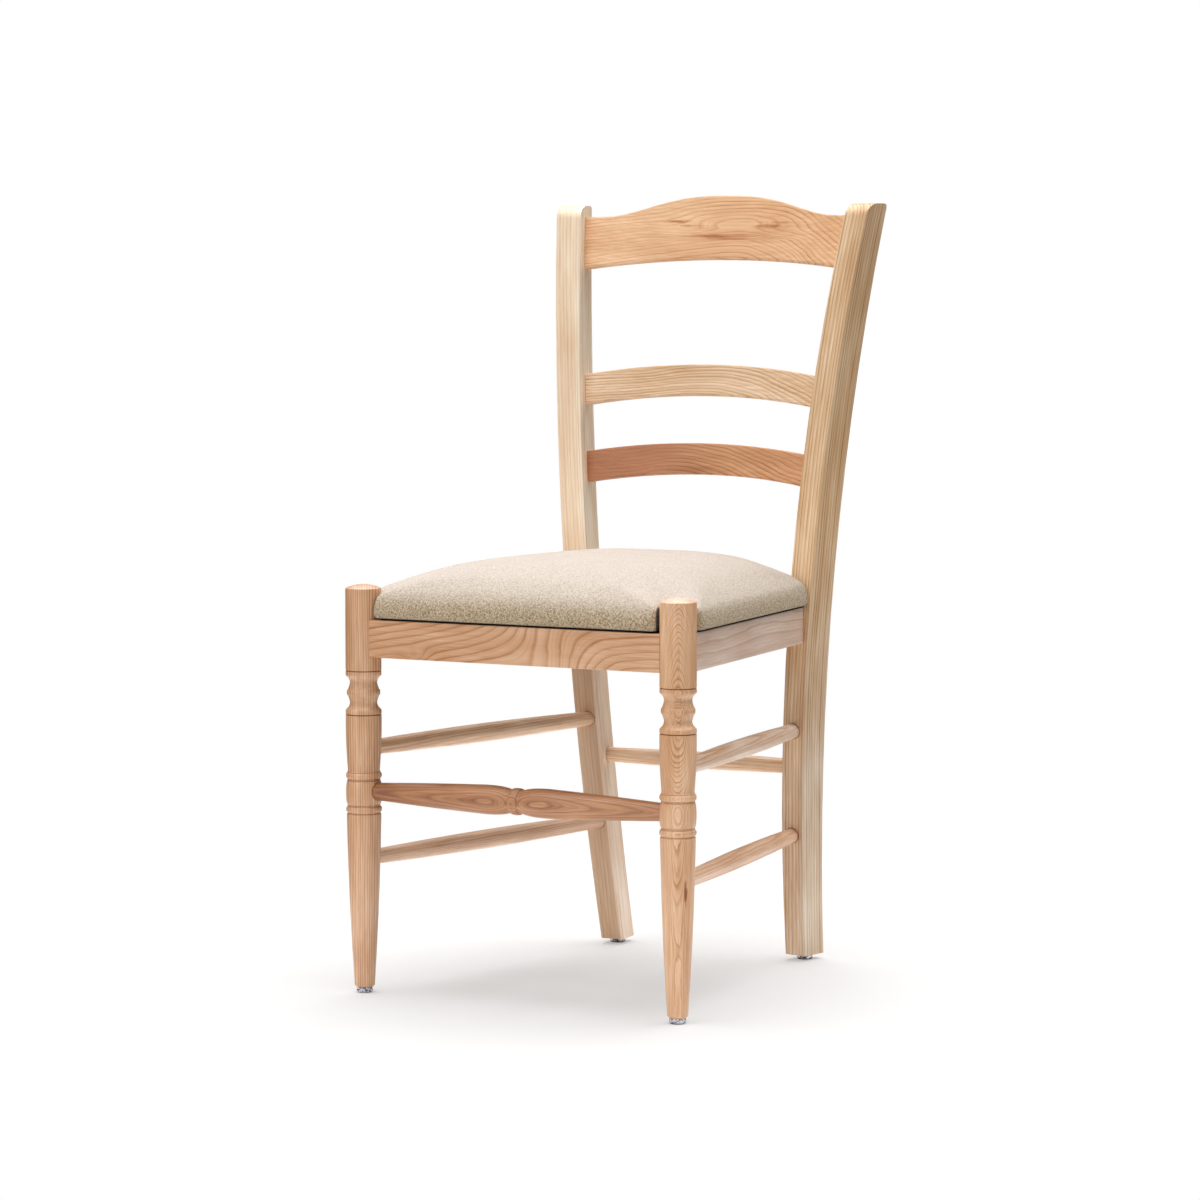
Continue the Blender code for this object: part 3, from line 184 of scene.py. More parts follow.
class Shader(Nodes):
    """The nodes of one new material."""

    def __init__(self, name):
        self.material = bpy.data.materials.new(name)
        self.material.use_nodes = True
        super().__init__(self.material.node_tree)
        self.surface = self.tree.nodes["Principled BSDF"]

    def bump(self, height, distance, strength=1.0):
        made = self.node("ShaderNodeBump")
        made.inputs["Strength"].default_value = strength
        made.inputs["Distance"].default_value = distance * MM
        self.put(made.inputs["Height"], height)
        self.put(self.surface.inputs["Normal"], made.outputs["Normal"])

    def finish(self, **sockets):
        for name, value in sockets.items():
            self.put(self.surface.inputs[name.replace("_", " ")], value)
        return self.material


def rgb(red, green, blue):
    """An 8-bit screen colour as the linear colour a shader takes."""
    levels = (level / 255 for level in (red, green, blue))
    linear = (c / 12.92 if c <= 0.04045 else ((c + 0.055) / 1.055) ** 2.4 for c in levels)
    return (*linear, 1.0)


# Ash

RING_STOPS = ((0.0, 0.45), (0.07, 1.0), (0.2, 0.62), (0.42, 0.2), (0.75, 0.02), (0.94, 0.06),
              (1.0, 0.45))
WIDE_RING_STOPS = ((0.0, 0.5), (0.05, 1.0), (0.12, 0.72), (0.24, 0.26), (0.5, 0.05), (0.9, 0.0),
                   (1.0, 0.5))
THIN_RING_STOPS = ((0.0, 0.6), (0.2, 1.0), (0.6, 0.0), (1.0, 0.6))
WIDE_RING = 4.0
THIN_RING_SHARE = 0.31
WEAKEST_RING = 0.35
RING_DRIFT = 2.4
PORE_DARKNESS = 0.3
CLOUD_DARKNESS = 0.8
MARK_DARKNESS = 0.9
RELIEF = 0.07
# Painted shade: every ash piece is tinted slightly darker and cooler near the floor, fading out
# between the two heights.
PAINTED_LOW_SHADE = ((0.94, 0.985, 1.055), 100.0, 430.0)


def ellipse(s, along, across, at, stretch):
    """Distance from a point of the face, counted stretch times shorter along the grain."""
    x = s.math("MULTIPLY", s.math("SUBTRACT", along, at[0]), 1 / stretch)
    y = s.math("SUBTRACT", across, at[1])
    return s.hypot(x, y)


def away_from(s, grain, middle, half_width, inside):
    """A share that is inside near one place along the grain and rises to one away from it."""
    off = s.distance(grain, middle)
    return s.spread(off, half_width * 0.6, half_width * 1.4, inside, 1.0)


def year_lines(s, depth, width, stops, weakest, seed):
    """The dark line of each ring of this width, some years weaker than others."""
    rings = s.math("DIVIDE", depth, width)
    vigour = s.node("ShaderNodeTexWhiteNoise", noise_dimensions="1D")
    s.put(vigour.inputs["W"], s.math("ADD", s.math("FLOOR", rings), seed))
    strength = s.spread(vigour.outputs["Value"], 0.0, 1.0, weakest, 1.0)
    return s.math("MULTIPLY", s.ramp(s.math("FRACT", rings), stops), strength)


def add_streaks(s, amount, streaks, spot, streaky, fibres):
    """Dark dashes along the grain, each (place, half length and half width, strength)."""
    for at, reach, strength in streaks:
        off = s.vector("SUBTRACT", spot, (at[0], at[1], 0.0))
        ragged = s.madd(s.noise(streaky(reach[0] * 0.6, reach[1], at[0])), 1.5, -0.75)
        off = s.vector("MULTIPLY", off, (1 / reach[0], 1 / reach[1], 0.0))
        far = s.math("ADD", s.vector("LENGTH", off), ragged)
        mark = s.spread(far, 1.15, 0.2, 0.0, strength)
        amount = s.madd(mark, s.spread(fibres, 0.3, 0.6, 0.6, 1.2), amount)
    return amount


def add_rims(s, amount, rims, place):
    """The dark line round each socket, given by a point, a direction and a radius."""
    for point, away, radius in rims:
        off = s.vector("SUBTRACT", place, tuple(point))
        ahead = s.vector("DOT_PRODUCT", off, tuple(away))
        aside = s.vector("SUBTRACT", off, s.vector("SCALE", tuple(away), scale=ahead))
        off_rim = s.distance(s.vector("LENGTH", aside), radius + 0.2)
        line = s.spread(off_rim, 0.85, 0.3, 0.0, MARK_DARKNESS)
        amount = s.madd(line, s.spread(ahead, 4.0, 8.0), amount)
    return amount


def ground_colour(s, place, here, pale, foot, zone):
    """The wood's colour between its lines: a painted shade tint near the floor, and another colour
    in a zone, which can take another painted colour of its own near the floor.
    """
    tint, tinted_z, clear_z = foot
    clear = s.spread(s.part(place, "Z"), tinted_z, clear_z)
    ground = s.vector("MULTIPLY", s.mix(clear, (*tint, 1.0), WHITE), pale[:3])
    if zone:
        direction, start, reach, other, *painted_low_colour = zone
        if painted_low_colour:
            other = s.mix(clear, painted_low_colour[0], other)
        share = s.spread(s.vector("DOT_PRODUCT", here, direction), start, start + reach)
        ground = s.mix(share, ground, other)
    return ground


def ash(name, along, face, origin, pale, dark, ring, shape, waves, contrast, seed, drift=None,
        streaks=(), fibre=0.45, width_change=1.0, thin=0.3, sweep=None, zone=None, calm=None,
        still=None, burns=(), rims=(), foot=PAINTED_LOW_SHADE):
    """Ash cut from its own log.

    Along is the grain, face the way the bark lies, origin a point of the piece and ring the mean
    width of a year. Shape is how far the pith lies behind the face, or a function for how deep
    in the log a point lies. Drift adds to that along the grain. Waves are (height, length,
    width) of the grain's wander. Sweep gives how far the middle of a bent piece lies from the
    origin. A zone is (direction, start, reach, colour), with one more colour near the floor if it
    differs there: painted floor light on the right back post, painted shade on the left one. Calm
    (middle, half width, share of the lines left) is a place with faint lines, still (middle, half
    width) one where the fibres hardly show, burns are fine dark lines across the grain. Foot is
    (tint, low, high): painted shade that tints the wood below low and fades out by high."""
    s = Shader(name)
    along = Vector(along).normalized()
    face = Vector(face)
    face = (face - along * face.dot(along)).normalized()
    side = face.cross(along)
    place = s.object_place()
    here = s.vector("SUBTRACT", place, tuple(origin))
    if sweep:
        here = s.vector("SUBTRACT", here, sweep(s, place))
    grain = s.vector("DOT_PRODUCT", here, tuple(along))
    across = s.vector("DOT_PRODUCT", here, tuple(side))
    behind = s.vector("DOT_PRODUCT", here, tuple(-face))
    spot = s.combine(grain, across, behind)

    def streaky(length, width, shift=0.0):
        scaled = s.vector("MULTIPLY", spot, (1 / length, 1 / width, 1 / width))
        return s.vector("ADD", scaled, (seed + shift, seed * 0.37 + shift, -seed * 0.61))

    if callable(shape):
        depth = shape(s, grain, across, behind)
    else:
        depth = s.hypot(s.math("ADD", behind, shape), across)
    if drift:
        depth = s.math("ADD", depth, drift(s, grain))
    for index, (height, length, width) in enumerate(waves):
        wander = s.math("SUBTRACT", s.noise(streaky(length, width, index * 7.3), 1.0), 0.5)
        depth = s.madd(wander, height * 2.0, depth)
    slow = s.noise(s.combine(s.math("DIVIDE", depth, ring * 4.0), seed, 0.5), 1.0)
    depth = s.madd(s.math("SUBTRACT", slow, 0.5), ring * RING_DRIFT * width_change, depth)

    stops = WIDE_RING_STOPS if ring > WIDE_RING else RING_STOPS
    line = year_lines(s, depth, ring, stops, WEAKEST_RING, seed)
    thin_line = year_lines(s, depth, ring * THIN_RING_SHARE, THIN_RING_STOPS, 0.0, seed)
    patch = s.spread(s.noise(streaky(60.0, 16.0, 3.1)), 0.3, 0.65, 0.45, 1.0)
    amount = s.math("MULTIPLY", line, s.math("MULTIPLY", patch, contrast))
    amount = s.madd(thin_line, thin * contrast, amount)
    if calm:
        amount = s.math("MULTIPLY", amount, away_from(s, grain, *calm))

    fibres = s.noise(streaky(22.0, 1.05, 5.7), 4.0, 0.75)
    bundles = s.noise(streaky(50.0, 2.2, 2.3))
    if still:
        loose = away_from(s, grain, *still, 0.2)
        fibres = s.madd(s.math("SUBTRACT", fibres, 0.5), loose, 0.5)
        bundles = s.madd(s.math("SUBTRACT", bundles, 0.5), loose, 0.5)
    cells = s.noise(streaky(3.2, 0.2, 9.1))
    pores = s.math("MULTIPLY", s.spread(cells, 0.56, 0.68), s.spread(line, 0.1, 0.8, 0.15, 1.0))
    cloud = s.noise(streaky(130.0, 30.0, 1.9))

    amount = s.math("MULTIPLY", amount, s.spread(fibres, 0.25, 0.6, 0.55, 1.15))
    amount = s.madd(s.math("SUBTRACT", 0.5, fibres), fibre, amount)
    amount = s.madd(s.math("SUBTRACT", 0.5, bundles), fibre * 1.2, amount)
    amount = s.madd(s.math("SUBTRACT", cloud, 0.45), CLOUD_DARKNESS, amount)
    amount = s.madd(pores, PORE_DARKNESS, amount)
    amount = add_streaks(s, amount, streaks, spot, streaky, fibres)
    for at in burns:
        burn = s.spread(s.distance(grain, at), 0.8, 0.25, 0.0, MARK_DARKNESS)
        amount = s.math("ADD", amount, burn)
    amount = add_rims(s, amount, rims, place)
    shades = [s.math("POWER", low / high, amount) for low, high in zip(dark[:3], pale[:3])]
    ground = ground_colour(s, place, here, pale, foot, zone)
    colour = s.vector("MULTIPLY", s.combine(*shades), ground)

    height = s.madd(pores, -1.0, s.math("MULTIPLY", line, -0.35))
    height = s.madd(fibres, 0.35, height)
    s.bump(height, RELIEF, 0.6)
    rough = s.madd(line, 0.10, s.spread(fibres, 0.2, 0.8, 0.34, 0.44))
    return s.finish(Base_Color=colour, Roughness=rough, Coat_Weight=0.12, Coat_Roughness=0.28)


UP = (0.0, 0.0, 1.0)
SIDEWAYS = (1.0, 0.0, 0.0)
FORWARD = (0.0, -1.0, 0.0)
VIEW = Vector((0.49, -0.87, 0.0))
BOARD_LENGTH = 400.0
SLAT_LENGTH = 340.0
POST_HEIGHT = 870.0
SWEEP = 250.0

# Pale and dark of each board, and the other colours that some of them run into. On the back
# posts some of these are painted light and painted shade.
PALE, PALE_DARK = rgb(240, 209, 172), rgb(176, 124, 76)
# Painted shade on the right back post's outer face, and paler painted floor light on it low down.
OUTER_FACE_PAINTED_SHADE, OUTER_FACE_PAINTED_FLOOR_LIGHT = rgb(210, 191, 169), rgb(216, 198, 178)
CREAM, CREAM_DARK = rgb(254, 230, 200), rgb(210, 164, 122)
# Pale sapwood, made paler still as painted light on the left back post's inner face, and a darker
# painted-shade version of it low down.
SAPWOOD_AND_PAINTED_LIGHT, SAPWOOD_PAINTED_LOW_SHADE = rgb(255, 240, 218), rgb(241, 219, 197)
TAN, TAN_DARK = rgb(230, 186, 148), rgb(162, 104, 60)
LEFT_TAN, LEFT_TAN_DARK = rgb(222, 178, 141), rgb(154, 98, 58)
END_GRAIN = rgb(232, 188, 163)
RAIL, RAIL_DARK, RAIL_PALE = rgb(216, 168, 129), rgb(166, 102, 58), rgb(224, 182, 148)
GREY_PINK, GREY_PINK_DARK = rgb(234, 209, 191), rgb(184, 142, 114)
PINK, PINK_DARK = rgb(250, 203, 158), rgb(194, 124, 74)
SLAT_TAN, SLAT_TAN_DARK = rgb(249, 216, 182), rgb(184, 132, 84)
RED, RED_DARK, RED_PALE = rgb(191, 127, 87), rgb(146, 84, 45), rgb(226, 169, 124)
TURNED_RED, TURNED_RED_DARK = rgb(178, 121, 77), rgb(118, 68, 38)
TURNED_PALE = rgb(198, 146, 106)
RUNG, RUNG_DARK = rgb(249, 214, 179), rgb(180, 124, 84)
LOW_RUNG, GREY_RUNG, BACK_RUNG = rgb(236, 195, 162), rgb(232, 209, 190), rgb(250, 212, 173)
BLOCK, BLOCK_DARK = rgb(214, 180, 140), rgb(160, 118, 80)


def front_rail_rings(s, along, across, behind):
    """Flat-sawn figure: lines climb from the left, stand upright right of the middle and level
    out again towards the right, with a small swirl low on the left. Steepness is how much the
    height counts, drop how far the lines have climbed, both from end to end."""
    steepness = [(0.0, 1.0), (0.36, 1.0), (0.45, 0.78), (0.53, 0.36), (0.58, 0.1), (0.63, 0.06),
                 (0.68, 0.2), (0.74, 0.5), (0.80, 0.8), (0.88, 1.0), (1.0, 1.0)]
    drop = [(0.0, 0.0), (0.36, 0.26), (0.45, 0.35), (0.53, 0.45), (0.58, 0.54), (0.63, 0.64),
            (0.68, 0.74), (0.74, 0.85), (0.80, 0.93), (0.88, 0.98), (1.0, 1.0)]
    share = s.madd(along, 1 / BOARD_LENGTH, 0.5)
    depth = s.math("MULTIPLY", s.curve(share, steepness), across)
    depth = s.math("SUBTRACT", depth, s.math("MULTIPLY", s.curve(share, drop), 110.0))
    off_swirl = s.math("POWER", ellipse(s, along, across, (-122.0, -17.0), 1.7), 2.0)
    swirl = s.math("POWER", math.e, s.math("MULTIPLY", off_swirl, -0.011))
    depth = s.madd(swirl, 13.0, depth)
    return s.madd(behind, 0.5, depth)


def crest_rings(s, along, across, behind):
    """Arches over the whole board, steep at its right end, round a long oval under the hump."""
    share = s.madd(along, 1 / BOARD_LENGTH, 0.5)
    fall = s.curve(share, [(0.0, 0.40), (0.225, 0.21), (0.45, 0.05), (0.56, 0.0), (0.65, 0.08),
                           (0.75, 0.24), (0.85, 0.46), (1.0, 0.76)])
    weight = s.curve(share, [(0.0, 1.0), (0.56, 1.0), (0.72, 0.78), (0.85, 0.56), (1.0, 0.5)])
    arches = s.madd(fall, 92.0, s.math("MULTIPLY", across, weight))
    oval = s.math("MAXIMUM", ellipse(s, along, across, (22.0, 13.0), 4.3), 4.5)
    oval = s.math("ADD", oval, 13.0)
    near = s.spread(s.distance(along, 22.0), 120.0, 60.0)
    in_oval = s.math("MULTIPLY", s.spread(across, -6.0, 8.0), near)
    depth = s.madd(s.math("SUBTRACT", oval, arches), in_oval, arches)
    return s.madd(behind, 0.5, depth)


def slat_rings(fall, reach):
    """Lines along a slat that fall away from its middle by fall, given from end to end, and
    stand further apart to the right."""
    def depth(s, along, across, behind):
        share = s.madd(along, 1 / SLAT_LENGTH, 0.5)
        weight = s.curve(share, [(0.0, 1.0), (0.45, 1.0), (0.7, 0.75), (1.0, 0.62)])
        lines = s.math("MULTIPLY", across, weight)
        lines = s.madd(s.curve(share, fall), reach, lines)
        return s.madd(behind, 0.6, lines)
    return depth


def right_leg_drift(s, along):
    """The rings lean one way at the top of the leg, the other way below it, and run nearly
    level at the barrel."""
    share = s.math("DIVIDE", along, LEG_TOP_Z)
    points = [(0.0, 0.44), (0.10, 0.55), (0.24, 0.685), (0.34, 0.665), (0.44, 0.63), (0.49, 0.62),
              (0.54, 0.60), (0.68, 0.28), (0.73, 0.26), (0.78, 0.34), (1.0, 0.93)]
    return s.math("MULTIPLY", s.curve(share, points), 26.0)


def post_sweep(side):
    """How far a back post's middle lies from the chair's, at each height."""
    def offset(s, place):
        share = s.math("DIVIDE", s.part(place, "Z"), POST_HEIGHT)
        x = s.curve(share, [(0.0, 0.50), (0.345, 0.565), (0.69, 0.66), (1.0, 0.77)])
        y = s.curve(share, [(0.0, 0.84), (0.17, 0.765), (0.345, 0.70), (0.52, 0.695),
                            (0.69, 0.72), (0.85, 0.79), (1.0, 0.895)])
        return s.combine(s.math("MULTIPLY", x, side * SWEEP), s.math("MULTIPLY", y, SWEEP), 0.0)
    return offset


def middle_of(node):
    """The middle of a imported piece's box, in millimetres."""
    piece = NODES[node]
    corners = [piece.matrix_world @ Vector(corner) for corner in piece.bound_box]
    return sum(corners, Vector()) / 8 / MM


def rung_line(node):
    """The two ends of a rung's axis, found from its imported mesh."""
    piece = NODES[node]
    spots = np.array([piece.matrix_world @ v.co for v in piece.data.vertices]) / MM
    middle = spots.mean(axis=0)
    way = np.linalg.svd(spots - middle)[2][0]
    reach = (spots - middle) @ way
    return Vector(middle + way * reach.min()), Vector(middle + way * reach.max())


def rim(node, side=0):
    """The rim of the socket at a rung's right (1) or left (-1) end, or at its rear end (0)."""
    ends = sorted(rung_line(node), key=lambda spot: spot.x * -side if side else -spot.y)
    radius = STRETCHER_END_RADIUS if node == "front_stretcher" else RUNG_END_RADIUS
    return ends[0], (ends[1] - ends[0]).normalized(), radius


def post_rims(word, side):
    """The rims of the three sockets in a back post."""
    return [rim("side_stretcher_upper_" + word), rim("side_stretcher_lower_" + word),
            rim("back_stretcher", side)]


LEG_TOP_ZONE = (UP, LEG_RIM_Z - 0.8, 0.8, END_GRAIN)
ASH = {
    "front_leg_right": ash(
        "ash_leg_right", UP, VIEW, (LEG_X + 10, LEG_Y - 17, 0.0), TAN, TAN_DARK, ring=1.05,
        shape=85.0, waves=((1.3, 60.0, 22.0), (0.35, 14.0, 5.0)), contrast=0.95, seed=3.0,
        drift=right_leg_drift, streaks=(((143.0, -7.5), (13.0, 1.9), 1.3),), thin=0.0,
        burns=LEG_LINES, rims=[rim("front_stretcher", 1)], zone=LEG_TOP_ZONE),
    "front_leg_left": ash(
        "ash_leg_left", UP, (0.87, 0.49, 0.0), (-LEG_X, LEG_Y, 0.0), LEFT_TAN, LEFT_TAN_DARK,
        ring=2.7, shape=120.0, waves=((3.0, 260.0, 40.0), (0.6, 60.0, 20.0)), contrast=1.0,
        seed=8.0, burns=LEG_LINES, rims=[rim("front_stretcher", -1)], zone=LEG_TOP_ZONE),
    "back_post_right": ash(
        "ash_post_right", UP, (-0.75, -0.66, 0.0), (0, 0, 400), PALE, PALE_DARK, ring=3.1,
        shape=140.0, waves=((2.0, 420.0, 60.0), (0.4, 60.0, 14.0)), contrast=1.1, seed=12.0,
        fibre=0.55, sweep=post_sweep(1), rims=post_rims("right", 1),
        # Painted shade: the post is darkened and cooled below the seat, and its outer face takes
        # painted-shade colours that turn paler near the floor as painted floor light.
        foot=((0.80, 0.81, 0.90), 100.0, 430.0),
        zone=((0.987, -0.162, -0.02), 13.0, 6.0, OUTER_FACE_PAINTED_SHADE, OUTER_FACE_PAINTED_FLOOR_LIGHT)),
    "back_post_left": ash(
        "ash_post_left", UP, (-0.70, -0.71, 0.0), (0, 0, 400), CREAM, CREAM_DARK, ring=3.6,
        shape=130.0, waves=((2.5, 380.0, 60.0), (0.5, 70.0, 14.0)), contrast=0.6, seed=17.0,
        sweep=post_sweep(-1), rims=post_rims("left", -1),
        # Painted shadow of the seat darkens this post below the seat. Its inner face is pale
        # sapwood, lightened further as painted light, and slightly darker near the floor as
        # painted shade.
        foot=((0.57, 0.48, 0.42), 350.0, 480.0),
        zone=((0.987, 0.162, 0.0), 9.5, 3.5, SAPWOOD_AND_PAINTED_LIGHT, SAPWOOD_PAINTED_LOW_SHADE)),
    "crest_rail": ash(
        "ash_crest", SIDEWAYS, FORWARD, (0, 218, 840), PINK, PINK_DARK, ring=4.4,
        shape=crest_rings, waves=((2.0, 60.0, 18.0), (0.7, 22.0, 9.0)), contrast=1.0, seed=21.0,
        streaks=(((-57.0, 16.0), (17.0, 2.2), 0.85), ((-42.0, 11.0), (16.0, 1.4), 0.6),
                 ((-2.0, -1.5), (42.0, 2.8), 0.85), ((20.0, -4.5), (34.0, 1.8), 0.6),
                 ((66.0, 10.0), (26.0, 2.4), 0.7), ((84.0, 14.0), (14.0, 1.8), 0.5)),
        width_change=0.7, thin=0.2, calm=(-95.0, 75.0, 0.55)),
    "upper_slat": ash(
        "ash_upper_slat", SIDEWAYS, FORWARD, middle_of("upper_slat"), SLAT_TAN, SLAT_TAN_DARK,
        ring=3.7, waves=((2.2, 90.0, 20.0), (0.6, 26.0, 10.0)), contrast=1.05, seed=26.0,
        width_change=0.7, shape=slat_rings([(0.0, 0.36), (0.25, 0.16), (0.5, 0.0), (0.65, 0.10),
                                            (0.8, 0.36), (1.0, 0.78)], 62.0)),
    "lower_slat": ash(
        "ash_lower_slat", SIDEWAYS, FORWARD, middle_of("lower_slat"), RED, RED_DARK, ring=4.4,
        waves=((2.6, 80.0, 18.0), (0.8, 24.0, 10.0)), contrast=1.45, seed=31.0,
        streaks=(((-10.0, -6.0), (44.0, 5.0), 0.4),), width_change=0.7,
        shape=slat_rings([(0.0, 0.30), (0.25, 0.12), (0.4, 0.0), (0.55, 0.10), (0.75, 0.42),
                          (1.0, 0.8)], 70.0),
        zone=(SIDEWAYS, -70.0, 110.0, RED_PALE), calm=(-100.0, 62.0, 0.3)),
    "seat_rail_front": ash(
        "ash_rail_front", SIDEWAYS, FORWARD, (0, -246, 395), RAIL, RAIL_DARK, ring=8.4,
        shape=front_rail_rings, waves=((1.7, 70.0, 26.0), (0.6, 22.0, 10.0)), contrast=1.15,
        seed=36.0, fibre=0.5, width_change=0.35, thin=0.2,
        zone=(SIDEWAYS, -120.0, 110.0, RAIL_PALE), calm=(-5.0, 22.0, 0.8), still=(30.0, 60.0)),
    "seat_rail_back": ash(
        "ash_rail_back", SIDEWAYS, (0, 0.8, 0.6), (0, 175, 395), TAN, TAN_DARK, ring=3.4,
        shape=70.0, waves=((4.0, 150.0, 40.0), (0.8, 30.0, 12.0)), contrast=0.65, seed=51.0),
    "front_stretcher": ash(
        "ash_front_stretcher", SIDEWAYS, VIEW, (0, LEG_Y - 14, STRETCHER_Z), TURNED_RED,
        TURNED_RED_DARK, ring=2.2, shape=70.0, waves=((1.4, 120.0, 30.0), (0.4, 30.0, 10.0)),
        contrast=1.0, seed=56.0, zone=(SIDEWAYS, -110.0, 200.0, TURNED_PALE)),
    "back_stretcher": ash(
        "ash_back_stretcher", SIDEWAYS, (0, -0.9, 0.4), (0, 175, 228), BACK_RUNG, RUNG_DARK,
        ring=2.6, shape=60.0, waves=((2.0, 150.0, 30.0), (0.4, 30.0, 10.0)), contrast=0.6,
        seed=61.0),
}
SIDE_RAILS = (("right", 1, GREY_PINK, GREY_PINK_DARK, 5.0, 41.0),
              ("left", -1, TAN, TAN_DARK, 4.0, 46.0))
for word, side, pale, dark, ring, seed in SIDE_RAILS:
    ASH["seat_rail_" + word] = ash(
        "ash_rail_" + word, (-0.152 * side, 0.988, 0), (0.8 * side, 0.12, 0.6),
        (190 * side, -40, 395), pale, dark, ring=ring, shape=60.0,
        waves=((4.5, 160.0, 40.0), (0.8, 30.0, 12.0)), contrast=0.6, seed=seed)
SIDE_RUNGS = (("upper_left", 1, RUNG), ("upper_right", -1, GREY_RUNG), ("lower_left", 1, LOW_RUNG),
              ("lower_right", -1, LOW_RUNG))
for index, (word, heading, pale) in enumerate(SIDE_RUNGS):
    ASH["side_stretcher_" + word] = ash(
        "ash_side_stretcher_" + word, (heading * 0.12, 0.99, 0.0), (-heading * 0.3, -0.1, 0.9),
        (-heading * 185, -20, 272), pale, RUNG_DARK, ring=2.4, shape=55.0,
        waves=((2.2, 130.0, 30.0), (0.4, 30.0, 10.0)), contrast=0.65, seed=66.0 + 5.0 * index)
BLOCK_CORNERS = (("front_left", -1, -1), ("front_right", 1, -1), ("back_left", -1, 1),
                 ("back_right", 1, 1))
for word, x, y in BLOCK_CORNERS:
    ASH["corner_block_" + word] = ash(
        "sawn_block_" + word, (0.7 * x, -0.7 * y, 0.0), UP, (150 * x, 180 * y, 400), BLOCK,
        BLOCK_DARK, ring=3.2, shape=50.0, waves=((2.0, 80.0, 30.0),),
        contrast=0.6, seed=90.0 + 3 * x + y, fibre=0.6)


# Other materials

# Painted shade: how bright the wool stays where it turns in under the pad and in the gap round
# each front leg.
PAINTED_GAP_SHADE_LEVEL = 0.02
PLY_PAIR = 3.4


def wool():
    """A dense felted wool: pale and darker curls a millimetre or two across. Painted shade makes
    it nearly black where it turns in under the pad and in the narrow gap round each front leg, and
    painted top light makes the faces that look up paler."""
    s = Shader("seat_wool")
    place = s.object_place()
    wander = s.texture("ShaderNodeTexNoise", place, 0.9).outputs["Color"]
    bent = s.vector("MULTIPLY_ADD", wander, (1.6, 1.6, 1.6), place)
    curls = s.texture("ShaderNodeTexVoronoi", bent, 0.6, feature="SMOOTH_F1")
    curls.inputs["Smoothness"].default_value = 0.6
    fine = s.noise(place, 3.0, 0.65)
    fuzz = s.noise(place, 2.0, 0.7, scale=4.0)
    clumps = s.noise(place, 2.0, 0.6, scale=0.48)
    cloud = s.noise(place, scale=0.035)
    tone = s.madd(curls.outputs["Distance"], -0.55, fine)
    tone = s.madd(fuzz, 0.35, tone)
    tone = s.madd(s.math("SUBTRACT", clumps, 0.5), 0.8, tone)
    # Painted light: faces that look up take the paler, whiter colours, standing in for the
    # overhead light on the top of the pad.
    facing_up = s.part(s.node("ShaderNodeNewGeometry").outputs["Normal"], "Z")
    painted_top_light = s.spread(facing_up, 0.2, 1.0)
    low = s.mix(painted_top_light, rgb(140, 116, 80), rgb(204, 188, 170))
    high = s.mix(painted_top_light, rgb(236, 213, 178), rgb(239, 226, 216))
    colour = s.mix(s.spread(tone, 0.15, 0.62), low, high)
    level = s.madd(s.math("SUBTRACT", cloud, 0.5), 0.10, 1.0)
    # Painted shade: the wool is darkened almost to black along its lower edge and in the narrow
    # gap round each front leg, where shade falls.
    underside_painted_shade = s.spread(s.part(place, "Z"), PAD_Z + 0.3, PAD_Z + 1.5, PAINTED_GAP_SHADE_LEVEL, 1.0)
    off_leg = s.vector("SUBTRACT", s.vector("ABSOLUTE", place), (LEG_X, -LEG_Y, 0.0))
    off_leg = s.vector("LENGTH", s.vector("MULTIPLY", off_leg, (1.0, 1.0, 0.0)))
    leg_gap_painted_shade = s.spread(off_leg, LEG_RADIUS + 3.0, LEG_RADIUS + 4.4, PAINTED_GAP_SHADE_LEVEL, 1.0)
    rear_half = s.math("GREATER_THAN", s.part(place, "Y"), 0.0)
    painted_gap_shade = s.math("MULTIPLY", underside_painted_shade, s.math("MAXIMUM", leg_gap_painted_shade, rear_half))
    colour = s.vector("SCALE", colour, scale=s.math("MULTIPLY", level, painted_gap_shade))
    s.bump(s.madd(fuzz, 0.3, tone), 1.0, 0.9)
    return s.finish(Base_Color=colour, Roughness=0.95, Sheen_Weight=0.3, Sheen_Roughness=0.5,
                    Specular_IOR_Level=0.15)


def metal(name, colour, rough, seed, stain_and_painted_reflection_level=0.8):
    """Plated metal with faint scratches and a little dulling. The last argument is how bright its
    dark patches are: stain marks on the screws, and on the glide painted dark reflections."""
    s = Shader(name)
    place = s.object_place()
    dull = s.noise(s.vector("ADD", s.vector("SCALE", place, scale=0.4), (seed, 0.0, 0.0)), 3.0)
    lines = s.noise(s.vector("MULTIPLY", place, (0.6, 0.6, 9.0)))
    rough_map = s.madd(dull, 0.12, rough - 0.06)
    rough_map = s.madd(lines, 0.06, rough_map)
    level = s.madd(s.math("SUBTRACT", dull, 0.5), 0.18, 1.0)
    # Dark patches: stain marks, and where the last argument is low, painted dark reflections.
    stain_and_painted_reflection = s.vector("ADD", s.vector("SCALE", place, scale=0.45), (0.0, seed, 0.0))
    stain_and_painted_reflection = s.spread(s.noise(stain_and_painted_reflection, 2.0, 0.6), 0.42, 0.56, stain_and_painted_reflection_level, 1.0)
    colour = s.vector("SCALE", colour[:3], scale=s.math("MULTIPLY", level, stain_and_painted_reflection))
    dents = s.noise(place, 1.0, scale=0.3)
    s.bump(s.madd(lines, 0.02, dents), 1.2, 0.5)
    return s.finish(Base_Color=colour, Roughness=rough_map, Metallic=1.0)


